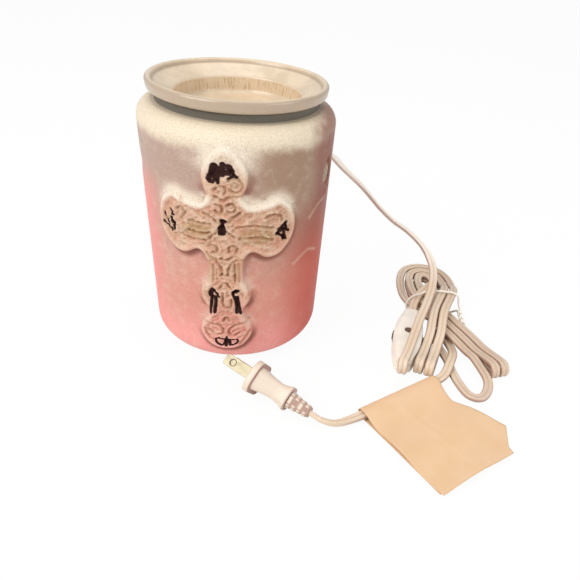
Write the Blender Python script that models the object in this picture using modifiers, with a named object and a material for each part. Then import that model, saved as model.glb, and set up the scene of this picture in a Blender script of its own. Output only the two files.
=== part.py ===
"""Electric wax warmer: a glazed jar with a raised cross, a lift-off wax dish, a lamp and a corded switch.

Metres, +Z up. The origin is on the table under the middle of the jar, and the cross faces -Y.
"""

import math

import bmesh
import bpy
import numpy as np
from mathutils import Matrix, Vector

MM = 0.001

# Clearances
FIT = 0.3 * MM
CORD_GAP = 0.5 * MM

# Glazed jar
JAR_LIFT = 1.0 * MM
JAR_SHOULDER_Z = 139.0 * MM
JAR_SHOULDER_RADIUS = 52.0 * MM
JAR_BASE_RADIUS = 47.4 * MM
JAR_WALL = 4.5 * MM
JAR_BASE_ROUNDING = 12.0 * MM
JAR_SHOULDER_ROUNDING = 8.4 * MM
MOUTH_RADIUS = 39.5 * MM
NECK_RADIUS = 42.4 * MM
NECK_HEIGHT = 4.4 * MM
RECESS_RADIUS = 32.5 * MM
RECESS_DEPTH = 3.6 * MM
LEDGE_INNER_RADIUS = 28.0 * MM
JAR_STEPS = 40

# Raised cross on the jar, measured along the wall
CROSS_CENTRE_Z = 88.0 * MM
CROSS_RELIEF = 3.0 * MM
CROSS_FRONT_RADIUS = 53.6 * MM
CROSS_ROOT = 2.0 * MM
CROSS_EDGE_ROUNDING = 1.0 * MM
CROSS_SLICE = 6.0 * MM

# Pierced vents and the cord's outlet
VENT_Z = 110.0 * MM
VENT_WIDTH = 11.0 * MM
VENT_HEIGHT = 15.0 * MM
VENT_TURNS = (74.0, -74.0, -118.0)
OUTLET_TURN = 138.0
OUTLET_Z = 97.0 * MM
OUTLET_RADIUS = 5.3 * MM

# Wax dish
DISH_RIM_RADIUS = 46.8 * MM
DISH_RIM_HEIGHT = 6.6 * MM
DISH_RIM_ROUNDING = 2.6 * MM
DISH_RIM_TAPER = 2.0 * MM
DISH_SKIRT_GAP = 0.7 * MM
DISH_WELL_RADIUS = 33.2 * MM
DISH_WELL_DEPTH = 16.4 * MM
DISH_LEDGE_DROP = 7.2 * MM
DISH_WALL = 3.6 * MM
DISH_LIFT = 90.0 * MM

# Base plate, feet and clamp
PLATE_THICKNESS = 1.0 * MM
PLATE_SLOT_LENGTH = 12.0 * MM
PLATE_SLOT_WIDTH = 4.6 * MM
PLATE_SLOT_RADIUS = 17.0 * MM
PLATE_SLOTS = 6
FOOT_RADIUS = 4.8 * MM
FOOT_CIRCLE_RADIUS = 25.5 * MM
FOOT_COUNT = 4
CLAMP_SCREW_OFFSET = 23.0 * MM
SCREW_RADIUS = 1.5 * MM
SCREW_HEAD_RADIUS = 2.9 * MM
SCREW_HEAD_HEIGHT = 1.9 * MM
NUT_ACROSS_FLATS = 5.5 * MM
NUT_HEIGHT = 2.4 * MM

# Lamp bracket
BRACKET_REACH = 36.0 * MM
BRACKET_WIDTH = 14.0 * MM
BRACKET_SHEET = 1.2 * MM
BRACKET_RISE = 17.0 * MM
BRACKET_TOP_HALF = 14.0 * MM
BRACKET_FOOT_INNER = 16.5 * MM

# Lamp holder
HOLDER_RADIUS = 10.0 * MM
HOLDER_FLANGE_RADIUS = 11.6 * MM
HOLDER_FLANGE_HEIGHT = 3.0 * MM
HOLDER_HEIGHT = 26.5 * MM
HOLDER_FLOOR = 7.0 * MM
HOLDER_CHAMBER_RADIUS = 5.4 * MM
HOLDER_CHAMBER_HEIGHT = 4.2 * MM
THREAD_SHELL_RADIUS = 6.5 * MM
THREAD_SHELL_SHEET = 0.35 * MM
THREAD_SHELL_HEIGHT = 14.2 * MM
THREAD_PITCH = 2.54 * MM

# Lamp
CAP_RADIUS = 5.85 * MM
CAP_SHEET = 0.4 * MM
CAP_LENGTH = 12.2 * MM
TIP_RADIUS = 2.2 * MM
TIP_HEIGHT = 1.1 * MM
INSULATOR_HEIGHT = 2.1 * MM
BULB_RADIUS = 11.0 * MM
BULB_LENGTH = 52.0 * MM
BULB_GLASS = 0.7 * MM
BULB_NECK_IN_CAP = 6.0 * MM
STEM_HEIGHT = 15.0 * MM
WIRE_RADIUS = 0.4 * MM
WIRE_SPREAD = 6.0 * MM
WIRE_HEIGHT = 20.0 * MM

# Flat twin cord
CORD_WIDTH = 5.6 * MM
CORD_THICKNESS = 2.8 * MM

# Tied hank of the same cord
HANK_PITCH = 6.3 * MM
HANK_LAYER = 1.85 * MM
HANK_FOLD = 4.0 * MM
HANK_FOLD_REACH = 20.0 * MM
HANK_STEP = 8.5 * MM
HANK_TURN = 32.0

# Moulded boot where the cord leaves the jar
BOOT_FLANGE_RADIUS = 7.0 * MM
BOOT_FLANGE = 1.8 * MM
BOOT_LENGTH = 12.5 * MM
BOOT_NOSE_RADIUS = 3.6 * MM
BOOT_INSIDE = 4.0 * MM

# In-line switch
SWITCH_CENTRE = Vector((106.8, -20.5, 0.2)) * MM
SWITCH_TURN = 77.7
SWITCH_LENGTH = 52.0 * MM
SWITCH_WIDTH = 17.8 * MM
SWITCH_END_WIDTH = 9.4 * MM
SWITCH_HEIGHT = 12.8 * MM
SWITCH_EDGE = 1.8 * MM
WHEEL_RADIUS = 9.8 * MM
WHEEL_THICKNESS = 4.4 * MM
WHEEL_TEETH = 20
WHEEL_TOOTH = 0.5 * MM
PIN_RADIUS = 1.4 * MM
PIN_HEAD_RADIUS = 2.5 * MM
PIN_HEAD_HEIGHT = 0.8 * MM
PIN_LOW_Z = 1.8 * MM
SWITCH_SCREW_OFFSET = 18.5 * MM
SWITCH_SCREW_RADIUS = 1.1 * MM
SWITCH_SCREW_HEAD = 2.3 * MM

# Plug: a flanged grip with two flat blades
PLUG_FACE = Vector((17.8, -71.8, 13.1)) * MM
PLUG_BACKWARDS = Vector((0.854, -0.472, -0.220))
PLUG_ACROSS = Vector((-0.182, -0.666, 0.723))
PLUG_LENGTH = 23.0 * MM
PLUG_FLANGE_WIDTH = 23.9 * MM
PLUG_FLANGE_HEIGHT = 17.5 * MM
PLUG_FLANGE_LENGTH = 3.6 * MM
PLUG_SHOULDER_WIDTH = 20.6 * MM
PLUG_SHOULDER_HEIGHT = 12.6 * MM
PLUG_WAIST_WIDTH = 14.6 * MM
PLUG_WAIST_HEIGHT = 9.8 * MM
PLUG_RING_WIDTH = 14.4 * MM
PLUG_RING_HEIGHT = 13.2 * MM
BLADE_WIDTH = 6.35 * MM
BLADE_THICKNESS = 1.5 * MM
BLADE_LENGTH = 16.7 * MM
BLADE_SPACING = 12.7 * MM
BLADE_HOLE_RADIUS = 1.6 * MM
BLADE_HOLE_FROM_TIP = 5.0 * MM
RELIEF_LENGTH = 12.4 * MM
RELIEF_ROOT = 7.4 * MM
RELIEF_RIBS = 4

# Tag folded round the cord
TAG_SHEET = 0.5 * MM
TAG_CORNER = Vector((76.0, -86.0, 0.0)) * MM
TAG_ALONG = Vector((0.819, 0.574, 0.0))
TAG_OUT = Vector((0.574, -0.819, 0.0))

# Twist tie
TIE_RADIUS = 0.7 * MM

COLLECTION_NAME = "electric_wax_warmer"


def clear_scene():
    for thing in list(bpy.data.objects):
        bpy.data.objects.remove(thing)


def new_collection(name):
    made = bpy.data.collections.new(name)
    bpy.context.scene.collection.children.link(made)
    return made


clear_scene()
PARTS = new_collection(COLLECTION_NAME)
CUTTERS = new_collection("cutters")


def material(name, colour, roughness, metallic=0.0):
    made = bpy.data.materials.new(name)
    made.use_nodes = True
    shader = made.node_tree.nodes["Principled BSDF"]
    shader.inputs["Base Color"].default_value = (*colour, 1.0)
    shader.inputs["Roughness"].default_value = roughness
    shader.inputs["Metallic"].default_value = metallic
    return made


GLAZE = material("crackle_glaze", (0.78, 0.62, 0.52), 0.35)
DISH_GLAZE = material("dish_glaze", (0.80, 0.74, 0.64), 0.25)
BLACK_STEEL = material("black_steel", (0.05, 0.05, 0.05), 0.5, 0.6)
ZINC = material("zinc_steel", (0.62, 0.62, 0.60), 0.4, 1.0)
RUBBER = material("rubber", (0.06, 0.06, 0.06), 0.8)
PHENOLIC = material("phenolic", (0.09, 0.08, 0.07), 0.45)
BRASS = material("brass", (0.78, 0.58, 0.25), 0.3, 1.0)
NICKEL = material("nickel", (0.70, 0.68, 0.64), 0.3, 1.0)
CLEAR_GLASS = material("clear_glass", (0.95, 0.96, 0.97), 0.05)
CREAM_PLASTIC = material("cream_plastic", (0.83, 0.74, 0.62), 0.4)
CORD_VINYL = material("cord_vinyl", (0.80, 0.72, 0.62), 0.45)
BROWN_PLASTIC = material("brown_plastic", (0.16, 0.09, 0.06), 0.45)
TAG_PAPER = material("tag_paper", (0.88, 0.74, 0.52), 0.8)


def add_object(name, data, finish, place=PARTS):
    made = bpy.data.objects.new(name, data)
    place.objects.link(made)
    if finish is not None:
        data.materials.append(finish)
    return made


def shade_round(made, angle=35.0):
    made.data.shade_smooth()
    made.data.set_sharp_from_angle(angle=math.radians(angle))


def arc(centre_r, centre_z, radius, start, end, count):
    """Points of a profile's round stretch, from one angle to the other, in degrees."""
    turns = [math.radians(start + (end - start) * i / (count - 1)) for i in range(count)]
    return [(centre_r + radius * math.cos(t), centre_z + radius * math.sin(t)) for t in turns]


def turned_mesh(name, profile, steps, closed):
    """A profile in the XZ plane, swept once round Z by a Screw modifier and made a mesh."""
    outline = bpy.data.meshes.new(name + "_profile")
    count = len(profile)
    edges = [(i, i + 1) for i in range(count - 1)]
    if closed:
        edges.append((count - 1, 0))
    outline.from_pydata([(r, 0.0, z) for r, z in profile], edges, [])
    guide = add_object(name + "_profile", outline, None, CUTTERS)
    screw = guide.modifiers.new("Screw", "SCREW")
    screw.angle = 2 * math.pi
    screw.steps = steps
    screw.render_steps = steps
    screw.use_merge_vertices = True
    screw.merge_threshold = 0.00001
    made = bpy.data.meshes.new_from_object(guide.evaluated_get(bpy.context.evaluated_depsgraph_get()))
    made.name = name
    bpy.data.objects.remove(guide)
    return made


def turned(name, profile, finish, steps=32, closed=False, place=PARTS):
    made = add_object(name, turned_mesh(name, profile, steps, closed), finish, place)
    shade_round(made)
    return made


def mesh_of(curve_object):
    """A curve object as a welded mesh in world space; the curve is removed."""
    bpy.context.view_layer.update()
    made = bpy.data.meshes.new_from_object(
        curve_object.evaluated_get(bpy.context.evaluated_depsgraph_get())
    )
    made.transform(curve_object.matrix_world)
    bpy.data.objects.remove(curve_object)
    welded = bmesh.new()
    welded.from_mesh(made)
    bmesh.ops.remove_doubles(welded, verts=welded.verts, dist=0.000001)
    bmesh.ops.recalc_face_normals(welded, faces=welded.faces)
    welded.to_mesh(made)
    welded.free()
    return made


def outline_curve(name, points, half_depth, round_edge=0.0):
    """A flat filled outline in the XY plane, as thick as twice half_depth, with rounded edges if asked."""
    curve = bpy.data.curves.new(name, "CURVE")
    curve.dimensions = "2D"
    curve.fill_mode = "BOTH"
    curve.extrude = half_depth - round_edge
    curve.bevel_depth = round_edge
    curve.bevel_resolution = 0
    curve.offset = -round_edge
    spline = curve.splines.new("POLY")
    spline.points.add(len(points) - 1)
    for point, (x, y) in zip(spline.points, points):
        point.co = (x, y, 0.0, 1.0)
    spline.use_cyclic_u = True
    return add_object(name, curve, None, CUTTERS)


def boolean(target, other, operation):
    made = target.modifiers.new(operation.title(), "BOOLEAN")
    made.operation = operation
    made.solver = "EXACT"
    made.object = other
    other.hide_render = True
    other.display_type = "WIRE"


def cut(target, *cutters):
    for cutter in cutters:
        boolean(target, cutter, "DIFFERENCE")


def cylinder(name, radius, depth, matrix, finish=None, place=CUTTERS, segments=24):
    """A cylinder from a bmesh cone, along the matrix's own Z, centred on it."""
    shape = bmesh.new()
    bmesh.ops.create_cone(
        shape, cap_ends=True, segments=segments, radius1=radius, radius2=radius, depth=depth
    )
    data = bpy.data.meshes.new(name)
    shape.to_mesh(data)
    shape.free()
    made = add_object(name, data, finish, place)
    made.matrix_world = matrix
    return made


def box(name, size, matrix, finish=None, place=CUTTERS):
    shape = bmesh.new()
    bmesh.ops.create_cube(shape, size=1.0, matrix=Matrix.Diagonal((*size, 1.0)))
    data = bpy.data.meshes.new(name)
    shape.to_mesh(data)
    shape.free()
    made = add_object(name, data, finish, place)
    made.matrix_world = matrix
    return made


def tube(name, points, radius, finish, resolution=2):
    """A round wire along points, with filled ends."""
    curve = bpy.data.curves.new(name, "CURVE")
    curve.dimensions = "3D"
    curve.bevel_depth = radius
    curve.bevel_resolution = resolution
    curve.use_fill_caps = True
    spline = curve.splines.new("POLY")
    spline.points.add(len(points) - 1)
    for point, place in zip(spline.points, points):
        point.co = (*place, 1.0)
    return add_object(name, curve, finish)


def smooth_route(knots, step):
    """Points about a step apart on a smooth curve through the knots."""
    knots = np.array(knots, float)
    ends = np.vstack([2 * knots[0] - knots[1], knots, 2 * knots[-1] - knots[-2]])
    fine = []
    for i in range(1, len(ends) - 2):
        before, start, end, after = ends[i - 1 : i + 3]
        for t in np.linspace(0, 1, 24, endpoint=False):
            fine.append(
                0.5
                * (
                    2 * start
                    + (end - before) * t
                    + (2 * before - 5 * start + 4 * end - after) * t**2
                    + (3 * start - before - 3 * end + after) * t**3
                )
            )
    fine = np.array(fine + [ends[-2]])
    along = np.r_[0, np.cumsum(np.linalg.norm(np.diff(fine, axis=0), axis=1))]
    marks = np.linspace(0, along[-1], max(2, round(along[-1] / step) + 1))
    return np.stack([np.interp(marks, along, fine[:, k]) for k in range(3)], 1)


def directions(points):
    """The direction of travel at each point, halfway between its two stretches, as a curve turns there."""
    steps = np.diff(points, axis=0)
    steps /= np.linalg.norm(steps, axis=1)[:, None]
    both = np.vstack([steps[:1], steps[:-1] + steps[1:], steps[-1:]])
    return both / np.linalg.norm(both, axis=1)[:, None]


def flat_cord(name, points, across, finish, resolution=1):
    """A flat twin cord along points, whose wide side follows the across directions."""
    points = np.array(points, float)
    along = directions(points)
    upright = np.array([0.0, 0.0, 1.0]) - along[:, 2:3] * along
    upright /= np.linalg.norm(upright, axis=1)[:, None]
    side = np.cross(along, upright)
    tilt = np.arctan2((across * side).sum(1), (across * upright).sum(1))
    curve = bpy.data.curves.new(name, "CURVE")
    curve.dimensions = "3D"
    curve.twist_mode = "Z_UP"
    curve.extrude = (CORD_WIDTH - CORD_THICKNESS) / 2
    curve.bevel_depth = CORD_THICKNESS / 2
    curve.bevel_resolution = resolution
    curve.use_fill_caps = True
    spline = curve.splines.new("POLY")
    spline.points.add(len(points) - 1)
    for point, place, turn in zip(spline.points, points, tilt):
        point.co = (*place, 1.0)
        point.tilt = turn
    return add_object(name, curve, finish)


# Heights that follow from the sizes above
JAR_TOP_Z = JAR_SHOULDER_Z + NECK_HEIGHT
LEDGE_Z = JAR_LIFT + RECESS_DEPTH
LEDGE_TOP_Z = LEDGE_Z + JAR_WALL
PLATE_TOP_Z = LEDGE_Z - FIT
PLATE_Z = PLATE_TOP_Z - PLATE_THICKNESS
BRACKET_Z = LEDGE_TOP_Z + FIT
BRACKET_TOP_Z = BRACKET_Z + BRACKET_RISE
HOLDER_Z = BRACKET_TOP_Z + BRACKET_SHEET + FIT
HOLDER_CHAMBER_Z = HOLDER_Z + HOLDER_FLOOR
THREAD_SHELL_Z = HOLDER_CHAMBER_Z + HOLDER_CHAMBER_HEIGHT + FIT
TIP_Z = THREAD_SHELL_Z + 1.6 * MM
INSULATOR_Z = TIP_Z + TIP_HEIGHT + FIT
CAP_Z = INSULATOR_Z + INSULATOR_HEIGHT + FIT
BULB_Z = CAP_Z + CAP_LENGTH - BULB_NECK_IN_CAP
DISH_SEAT_Z = JAR_TOP_Z + FIT
DISH_TOP_Z = DISH_SEAT_Z + DISH_RIM_HEIGHT
DISH_FLOOR_Z = DISH_TOP_Z - DISH_WELL_DEPTH


def jar_radius(z):
    """The jar's outer radius at a height, on the straight taper and on the rounded foot."""
    taper = (JAR_SHOULDER_RADIUS - JAR_BASE_RADIUS) / JAR_SHOULDER_Z
    radius = JAR_BASE_RADIUS + taper * z
    rounding_z = JAR_LIFT + JAR_BASE_ROUNDING
    if z < rounding_z:
        drop = min(rounding_z - z, JAR_BASE_ROUNDING)
        centre = JAR_BASE_RADIUS + taper * rounding_z - JAR_BASE_ROUNDING
        radius = centre + math.sqrt(JAR_BASE_ROUNDING**2 - drop**2)
    return radius


def jar_profile():
    lean = math.degrees(math.atan2(JAR_SHOULDER_RADIUS - JAR_BASE_RADIUS, JAR_SHOULDER_Z))
    shoulder_z = JAR_SHOULDER_Z - JAR_SHOULDER_ROUNDING
    shoulder_r = jar_radius(shoulder_z) - JAR_SHOULDER_ROUNDING
    foot_z = JAR_LIFT + JAR_BASE_ROUNDING
    foot_r = jar_radius(foot_z) - JAR_BASE_ROUNDING
    inner_rounding = JAR_BASE_ROUNDING - JAR_WALL
    ledge_r = foot_r + math.sqrt(inner_rounding**2 - (foot_z - LEDGE_TOP_Z) ** 2)
    inner_shoulder = 3.0 * MM
    inner_top = JAR_SHOULDER_Z - JAR_WALL
    lip = 0.8 * MM
    points = [(MOUTH_RADIUS, JAR_TOP_Z - lip), (MOUTH_RADIUS + lip, JAR_TOP_Z)]
    points += [(NECK_RADIUS - lip, JAR_TOP_Z), (NECK_RADIUS, JAR_TOP_Z - lip)]
    points += [(NECK_RADIUS, JAR_SHOULDER_Z + lip), (NECK_RADIUS + lip, JAR_SHOULDER_Z)]
    points += arc(shoulder_r, shoulder_z, JAR_SHOULDER_ROUNDING, 90, -lean, 5)
    points += [(jar_radius(z), z) for z in np.linspace(shoulder_z, foot_z, 3)[1:-1]]
    points += arc(foot_r, foot_z, JAR_BASE_ROUNDING, -lean, -90, 6)
    points += [(RECESS_RADIUS + lip, JAR_LIFT), (RECESS_RADIUS, JAR_LIFT + lip)]
    points += [(RECESS_RADIUS, LEDGE_Z), (LEDGE_INNER_RADIUS, LEDGE_Z)]
    points += [(LEDGE_INNER_RADIUS, LEDGE_TOP_Z), (ledge_r, LEDGE_TOP_Z)]
    points += [(jar_radius(foot_z) - JAR_WALL, foot_z)]
    points += [(jar_radius(inner_top) - JAR_WALL, inner_top - inner_shoulder)]
    points += [(jar_radius(inner_top) - JAR_WALL - inner_shoulder, inner_top)]
    points += [(MOUTH_RADIUS, inner_top)]
    return points


def cross_half_outline():
    """The right half of the lobed cross, from its top to its foot: distance from the middle, and height."""
    return [
        (0.0, 130.6),
        (3.6, 129.2),
        (6.8, 126.0),
        (9.4, 121.6),
        (10.8, 116.4),
        (10.2, 111.2),
        (8.5, 106.0),
        (12.0, 101.6),
        (19.5, 102.6),
        (26.5, 104.2),
        (32.6, 99.6),
        (35.4, 90.0),
        (33.6, 81.0),
        (27.6, 73.6),
        (20.4, 72.0),
        (13.0, 75.6),
        (9.2, 70.0),
        (8.9, 61.0),
        (10.2, 56.0),
        (13.0, 51.5),
        (12.4, 45.6),
        (9.4, 40.5),
        (9.8, 35.2),
        (13.4, 29.6),
        (13.9, 23.0),
        (9.8, 16.6),
        (4.6, 13.8),
        (0.0, 13.2),
    ]


def cross_outline():
    half = [(x * MM, (z * MM) - CROSS_CENTRE_Z) for x, z in cross_half_outline()]
    whole = half + [(-x, z) for x, z in reversed(half[1:-1])]
    smooth = []
    for i, (x, z) in enumerate(whole):
        before, after, beyond = whole[i - 1], whole[(i + 1) % len(whole)], whole[(i + 2) % len(whole)]
        middle = [(9 * (a + b) - c - d) / 16 for a, b, c, d in zip((x, z), after, before, beyond)]
        smooth += [(x, z), tuple(middle)]
    return smooth


def wrap_on_jar(data):
    """Bends a flat slab round the jar: X becomes the way round, Y the height and Z the way out."""
    for vertex in data.vertices:
        around, up, out = vertex.co
        z = CROSS_CENTRE_Z + up
        turn = around / jar_radius(CROSS_CENTRE_Z)
        radius = min(jar_radius(z) + out, CROSS_FRONT_RADIUS)
        vertex.co = (radius * math.sin(turn), -radius * math.cos(turn), z)


def make_cross_relief():
    half = (CROSS_RELIEF + CROSS_ROOT) / 2
    flat = outline_curve("cross_relief", cross_outline(), half, CROSS_EDGE_ROUNDING)
    flat.location.z = half - CROSS_ROOT
    data = mesh_of(flat)
    sliced = bmesh.new()
    sliced.from_mesh(data)
    reach = 36.0 * MM
    for x in np.arange(-reach, reach, CROSS_SLICE):
        bmesh.ops.bisect_plane(
            sliced,
            geom=list(sliced.verts) + list(sliced.edges) + list(sliced.faces),
            plane_co=(x, 0, 0),
            plane_no=(1, 0, 0),
            dist=0.00001,
        )
    sliced.to_mesh(data)
    sliced.free()
    wrap_on_jar(data)
    return add_object("cross_relief", data, None, CUTTERS)


def around_jar(turn, z, radius, tilt=0.0):
    """A frame on the jar's wall whose Z points outwards; turn 0 faces -Y and grows towards +X."""
    angle = math.radians(turn)
    out = Vector((math.sin(angle), -math.cos(angle), 0.0))
    spin = Matrix.Rotation(angle, 4, "Z") @ Matrix.Rotation(math.radians(90.0), 4, "X")
    return Matrix.Translation(out * radius + Vector((0, 0, z))) @ spin @ Matrix.Rotation(tilt, 4, "X")


def teardrop(width, height):
    """A round-bottomed vent that comes to a point at its top."""
    radius = width / 2
    base = -height / 2 + radius
    points = arc(0.0, base, radius, 150, 390, 13)
    return points + [(0.0, height / 2)]


def make_jar():
    jar = turned("jar_body", jar_profile(), GLAZE, JAR_STEPS, closed=True)
    boolean(jar, make_cross_relief(), "UNION")
    for number, turn in enumerate(VENT_TURNS, 1):
        flat = outline_curve(f"vent_cutter_{number}", teardrop(VENT_WIDTH, VENT_HEIGHT), 8 * MM)
        flat.matrix_world = around_jar(turn, VENT_Z, jar_radius(VENT_Z))
        cut(jar, add_object(f"vent_cutter_{number}", mesh_of(flat), None, CUTTERS))
    place = around_jar(OUTLET_TURN, OUTLET_Z, jar_radius(OUTLET_Z))
    cut(jar, cylinder("outlet_cutter", OUTLET_RADIUS, 24 * MM, place, segments=24))
    return jar


def dish_profile():
    skirt = MOUTH_RADIUS - DISH_SKIRT_GAP
    low_rim = DISH_RIM_RADIUS - DISH_RIM_TAPER
    ledge_z = DISH_TOP_Z - DISH_LEDGE_DROP
    under = DISH_FLOOR_Z - DISH_WALL
    rounding = DISH_RIM_ROUNDING
    points = [(0.0, DISH_FLOOR_Z), (0.8 * DISH_WELL_RADIUS, DISH_FLOOR_Z)]
    points += arc(DISH_WELL_RADIUS - 4.2 * MM, DISH_FLOOR_Z + 3.0 * MM, 3.0 * MM, -75, 0, 4)
    points += [(DISH_WELL_RADIUS - 0.5 * MM, ledge_z - 0.6 * MM), (DISH_WELL_RADIUS + 0.3 * MM, ledge_z)]
    points += [(DISH_RIM_RADIUS - 2 * rounding - 1.2 * MM, DISH_TOP_Z - 1.7 * MM)]
    points += arc(DISH_RIM_RADIUS - rounding, DISH_TOP_Z - rounding, rounding, 140, -5, 6)
    points += arc(low_rim - 1.2 * MM, DISH_SEAT_Z + 1.2 * MM, 1.2 * MM, -10, -90, 4)
    points += [(skirt + 0.8 * MM, DISH_SEAT_Z), (skirt, DISH_SEAT_Z - 0.8 * MM)]
    points += arc(skirt - 3.0 * MM, under + 3.0 * MM, 3.0 * MM, 0, -90, 5)
    points += [(0.0, under)]
    return points


def make_dish():
    return turned("wax_dish", dish_profile(), DISH_GLAZE, JAR_STEPS)


def make_base_plate():
    radius = RECESS_RADIUS - FIT
    edge = 0.3 * MM
    profile = [(0, PLATE_TOP_Z), (radius - edge, PLATE_TOP_Z), (radius, PLATE_TOP_Z - edge)]
    profile += [(radius, PLATE_Z + edge), (radius - edge, PLATE_Z), (0, PLATE_Z)]
    plate = turned("base_plate", profile, BLACK_STEEL, 36)
    for number in range(PLATE_SLOTS):
        half = PLATE_SLOT_LENGTH / 2 - PLATE_SLOT_WIDTH / 2
        ends = arc(half, 0, PLATE_SLOT_WIDTH / 2, -90, 90, 7) + arc(-half, 0, PLATE_SLOT_WIDTH / 2, 90, 270, 7)
        slot = outline_curve(f"plate_slot_{number + 1}", ends, 3 * MM)
        turn = math.radians(30.0 + 360.0 / PLATE_SLOTS * number)
        centre = Vector((math.cos(turn), math.sin(turn), 0)) * PLATE_SLOT_RADIUS
        slot.matrix_world = Matrix.Translation(centre + Vector((0, 0, PLATE_Z))) @ Matrix.Rotation(turn, 4, "Z")
        cut(plate, add_object(f"plate_slot_{number + 1}", mesh_of(slot), None, CUTTERS))
    for side in (-1, 1):
        at = Matrix.Translation((side * CLAMP_SCREW_OFFSET, 0, PLATE_Z))
        cut(plate, cylinder("plate_hole", SCREW_RADIUS + FIT, 6 * MM, at, segments=16))
    return plate


def make_feet():
    for number in range(FOOT_COUNT):
        turn = math.radians(45.0 + 360.0 / FOOT_COUNT * number)
        top = PLATE_Z - FIT
        profile = [(0, top), (FOOT_RADIUS, top), (FOOT_RADIUS - 0.3 * MM, 0.5 * MM)]
        profile += [(FOOT_RADIUS - 0.9 * MM, 0.0), (0, 0.0)]
        foot = turned(f"foot_{number + 1}", profile, RUBBER, 20)
        foot.location = (FOOT_CIRCLE_RADIUS * math.cos(turn), FOOT_CIRCLE_RADIUS * math.sin(turn), 0)


def screw(name, head_z, shank_top, up, radius=SCREW_RADIUS, head_radius=SCREW_HEAD_RADIUS):
    """A pan-head screw standing on its head, whose head's outer face is at head_z."""
    neck_z = head_z + SCREW_HEAD_HEIGHT
    profile = [(0, shank_top), (radius - 0.3 * MM, shank_top), (radius, shank_top - 0.4 * MM)]
    profile += [(radius, neck_z), (head_radius, neck_z), (head_radius, head_z + 0.6 * MM)]
    profile += [(head_radius - 0.7 * MM, head_z), (0, head_z)]
    made = turned(name, profile, ZINC, 16)
    made.location = up
    return made


def nut(name, place):
    data = bpy.data.meshes.new(name)
    shape = bmesh.new()
    radius = NUT_ACROSS_FLATS / math.sqrt(3)
    bmesh.ops.create_cone(shape, cap_ends=True, segments=6, radius1=radius, radius2=radius, depth=NUT_HEIGHT)
    shape.to_mesh(data)
    shape.free()
    made = add_object(name, data, ZINC)
    made.location = place
    bore = cylinder(name + "_bore", SCREW_RADIUS + FIT, 2 * NUT_HEIGHT, Matrix.Translation(place), segments=16)
    cut(made, bore)


def make_clamp():
    """The bent strip on the jar's inner ledge that carries the lamp and pulls the base plate up."""
    line = [
        (-BRACKET_REACH, BRACKET_Z),
        (-BRACKET_FOOT_INNER, BRACKET_Z),
        (-BRACKET_TOP_HALF, BRACKET_TOP_Z),
        (BRACKET_TOP_HALF, BRACKET_TOP_Z),
        (BRACKET_FOOT_INNER, BRACKET_Z),
        (BRACKET_REACH, BRACKET_Z),
    ]
    data = bpy.data.meshes.new("lamp_bracket")
    half = BRACKET_WIDTH / 2
    corners = [(x, y, z) for x, z in line for y in (-half, half)]
    faces = [(2 * i, 2 * i + 2, 2 * i + 3, 2 * i + 1) for i in range(len(line) - 1)]
    data.from_pydata(corners, [], faces)
    bracket = add_object("lamp_bracket", data, ZINC)
    sheet = bracket.modifiers.new("Solidify", "SOLIDIFY")
    sheet.thickness = BRACKET_SHEET
    sheet.offset = 1.0
    sheet.use_even_offset = True
    for x in (-CLAMP_SCREW_OFFSET, CLAMP_SCREW_OFFSET):
        at = Matrix.Translation((x, 0, BRACKET_Z))
        cut(bracket, cylinder("bracket_hole", SCREW_RADIUS + FIT, 8 * MM, at, segments=16))
    top = Matrix.Translation((0, 0, BRACKET_TOP_Z))
    cut(bracket, cylinder("bracket_hole_top", SCREW_RADIUS + FIT, 8 * MM, top, segments=16))
    nut_z = BRACKET_Z + BRACKET_SHEET + FIT
    for number, x in enumerate((-CLAMP_SCREW_OFFSET, CLAMP_SCREW_OFFSET), 1):
        head_z = PLATE_Z - FIT - SCREW_HEAD_HEIGHT
        screw(f"clamp_screw_{number}", head_z, nut_z + NUT_HEIGHT + 1.0 * MM, (x, 0, 0))
        nut(f"clamp_nut_{number}", (x, 0, nut_z + NUT_HEIGHT / 2))
    head_z = BRACKET_TOP_Z - FIT - SCREW_HEAD_HEIGHT
    screw("holder_screw", head_z, HOLDER_CHAMBER_Z - 1.5 * MM, (0, 0, 0))


def make_holder():
    top = HOLDER_Z + HOLDER_HEIGHT
    flange_z = HOLDER_Z + HOLDER_FLANGE_HEIGHT
    bore = THREAD_SHELL_RADIUS + FIT
    step_z = HOLDER_CHAMBER_Z + HOLDER_CHAMBER_HEIGHT
    screw_top = HOLDER_CHAMBER_Z - 1.5 * MM + FIT
    hole = SCREW_RADIUS + FIT
    edge = 0.6 * MM
    profile = [(0, HOLDER_CHAMBER_Z), (HOLDER_CHAMBER_RADIUS, HOLDER_CHAMBER_Z)]
    profile += [(HOLDER_CHAMBER_RADIUS, step_z), (bore, step_z), (bore, top)]
    profile += [(HOLDER_RADIUS - edge, top), (HOLDER_RADIUS, top - edge)]
    profile += [(HOLDER_RADIUS, flange_z + edge), (HOLDER_FLANGE_RADIUS - edge, flange_z)]
    profile += [(HOLDER_FLANGE_RADIUS, flange_z - edge), (HOLDER_FLANGE_RADIUS, HOLDER_Z)]
    profile += [(hole, HOLDER_Z), (hole, screw_top), (0, screw_top)]
    turned("lamp_holder", profile, PHENOLIC, 28)
    inner = THREAD_SHELL_RADIUS - THREAD_SHELL_SHEET
    low = THREAD_SHELL_Z
    shell = [(inner, low + THREAD_SHELL_HEIGHT), (THREAD_SHELL_RADIUS, low + THREAD_SHELL_HEIGHT)]
    shell += [(THREAD_SHELL_RADIUS, low), (5.0 * MM, low), (5.0 * MM, low + THREAD_SHELL_SHEET)]
    shell += [(inner, low + THREAD_SHELL_SHEET)]
    turned("thread_shell", shell, BRASS, 24, closed=True)


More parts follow.
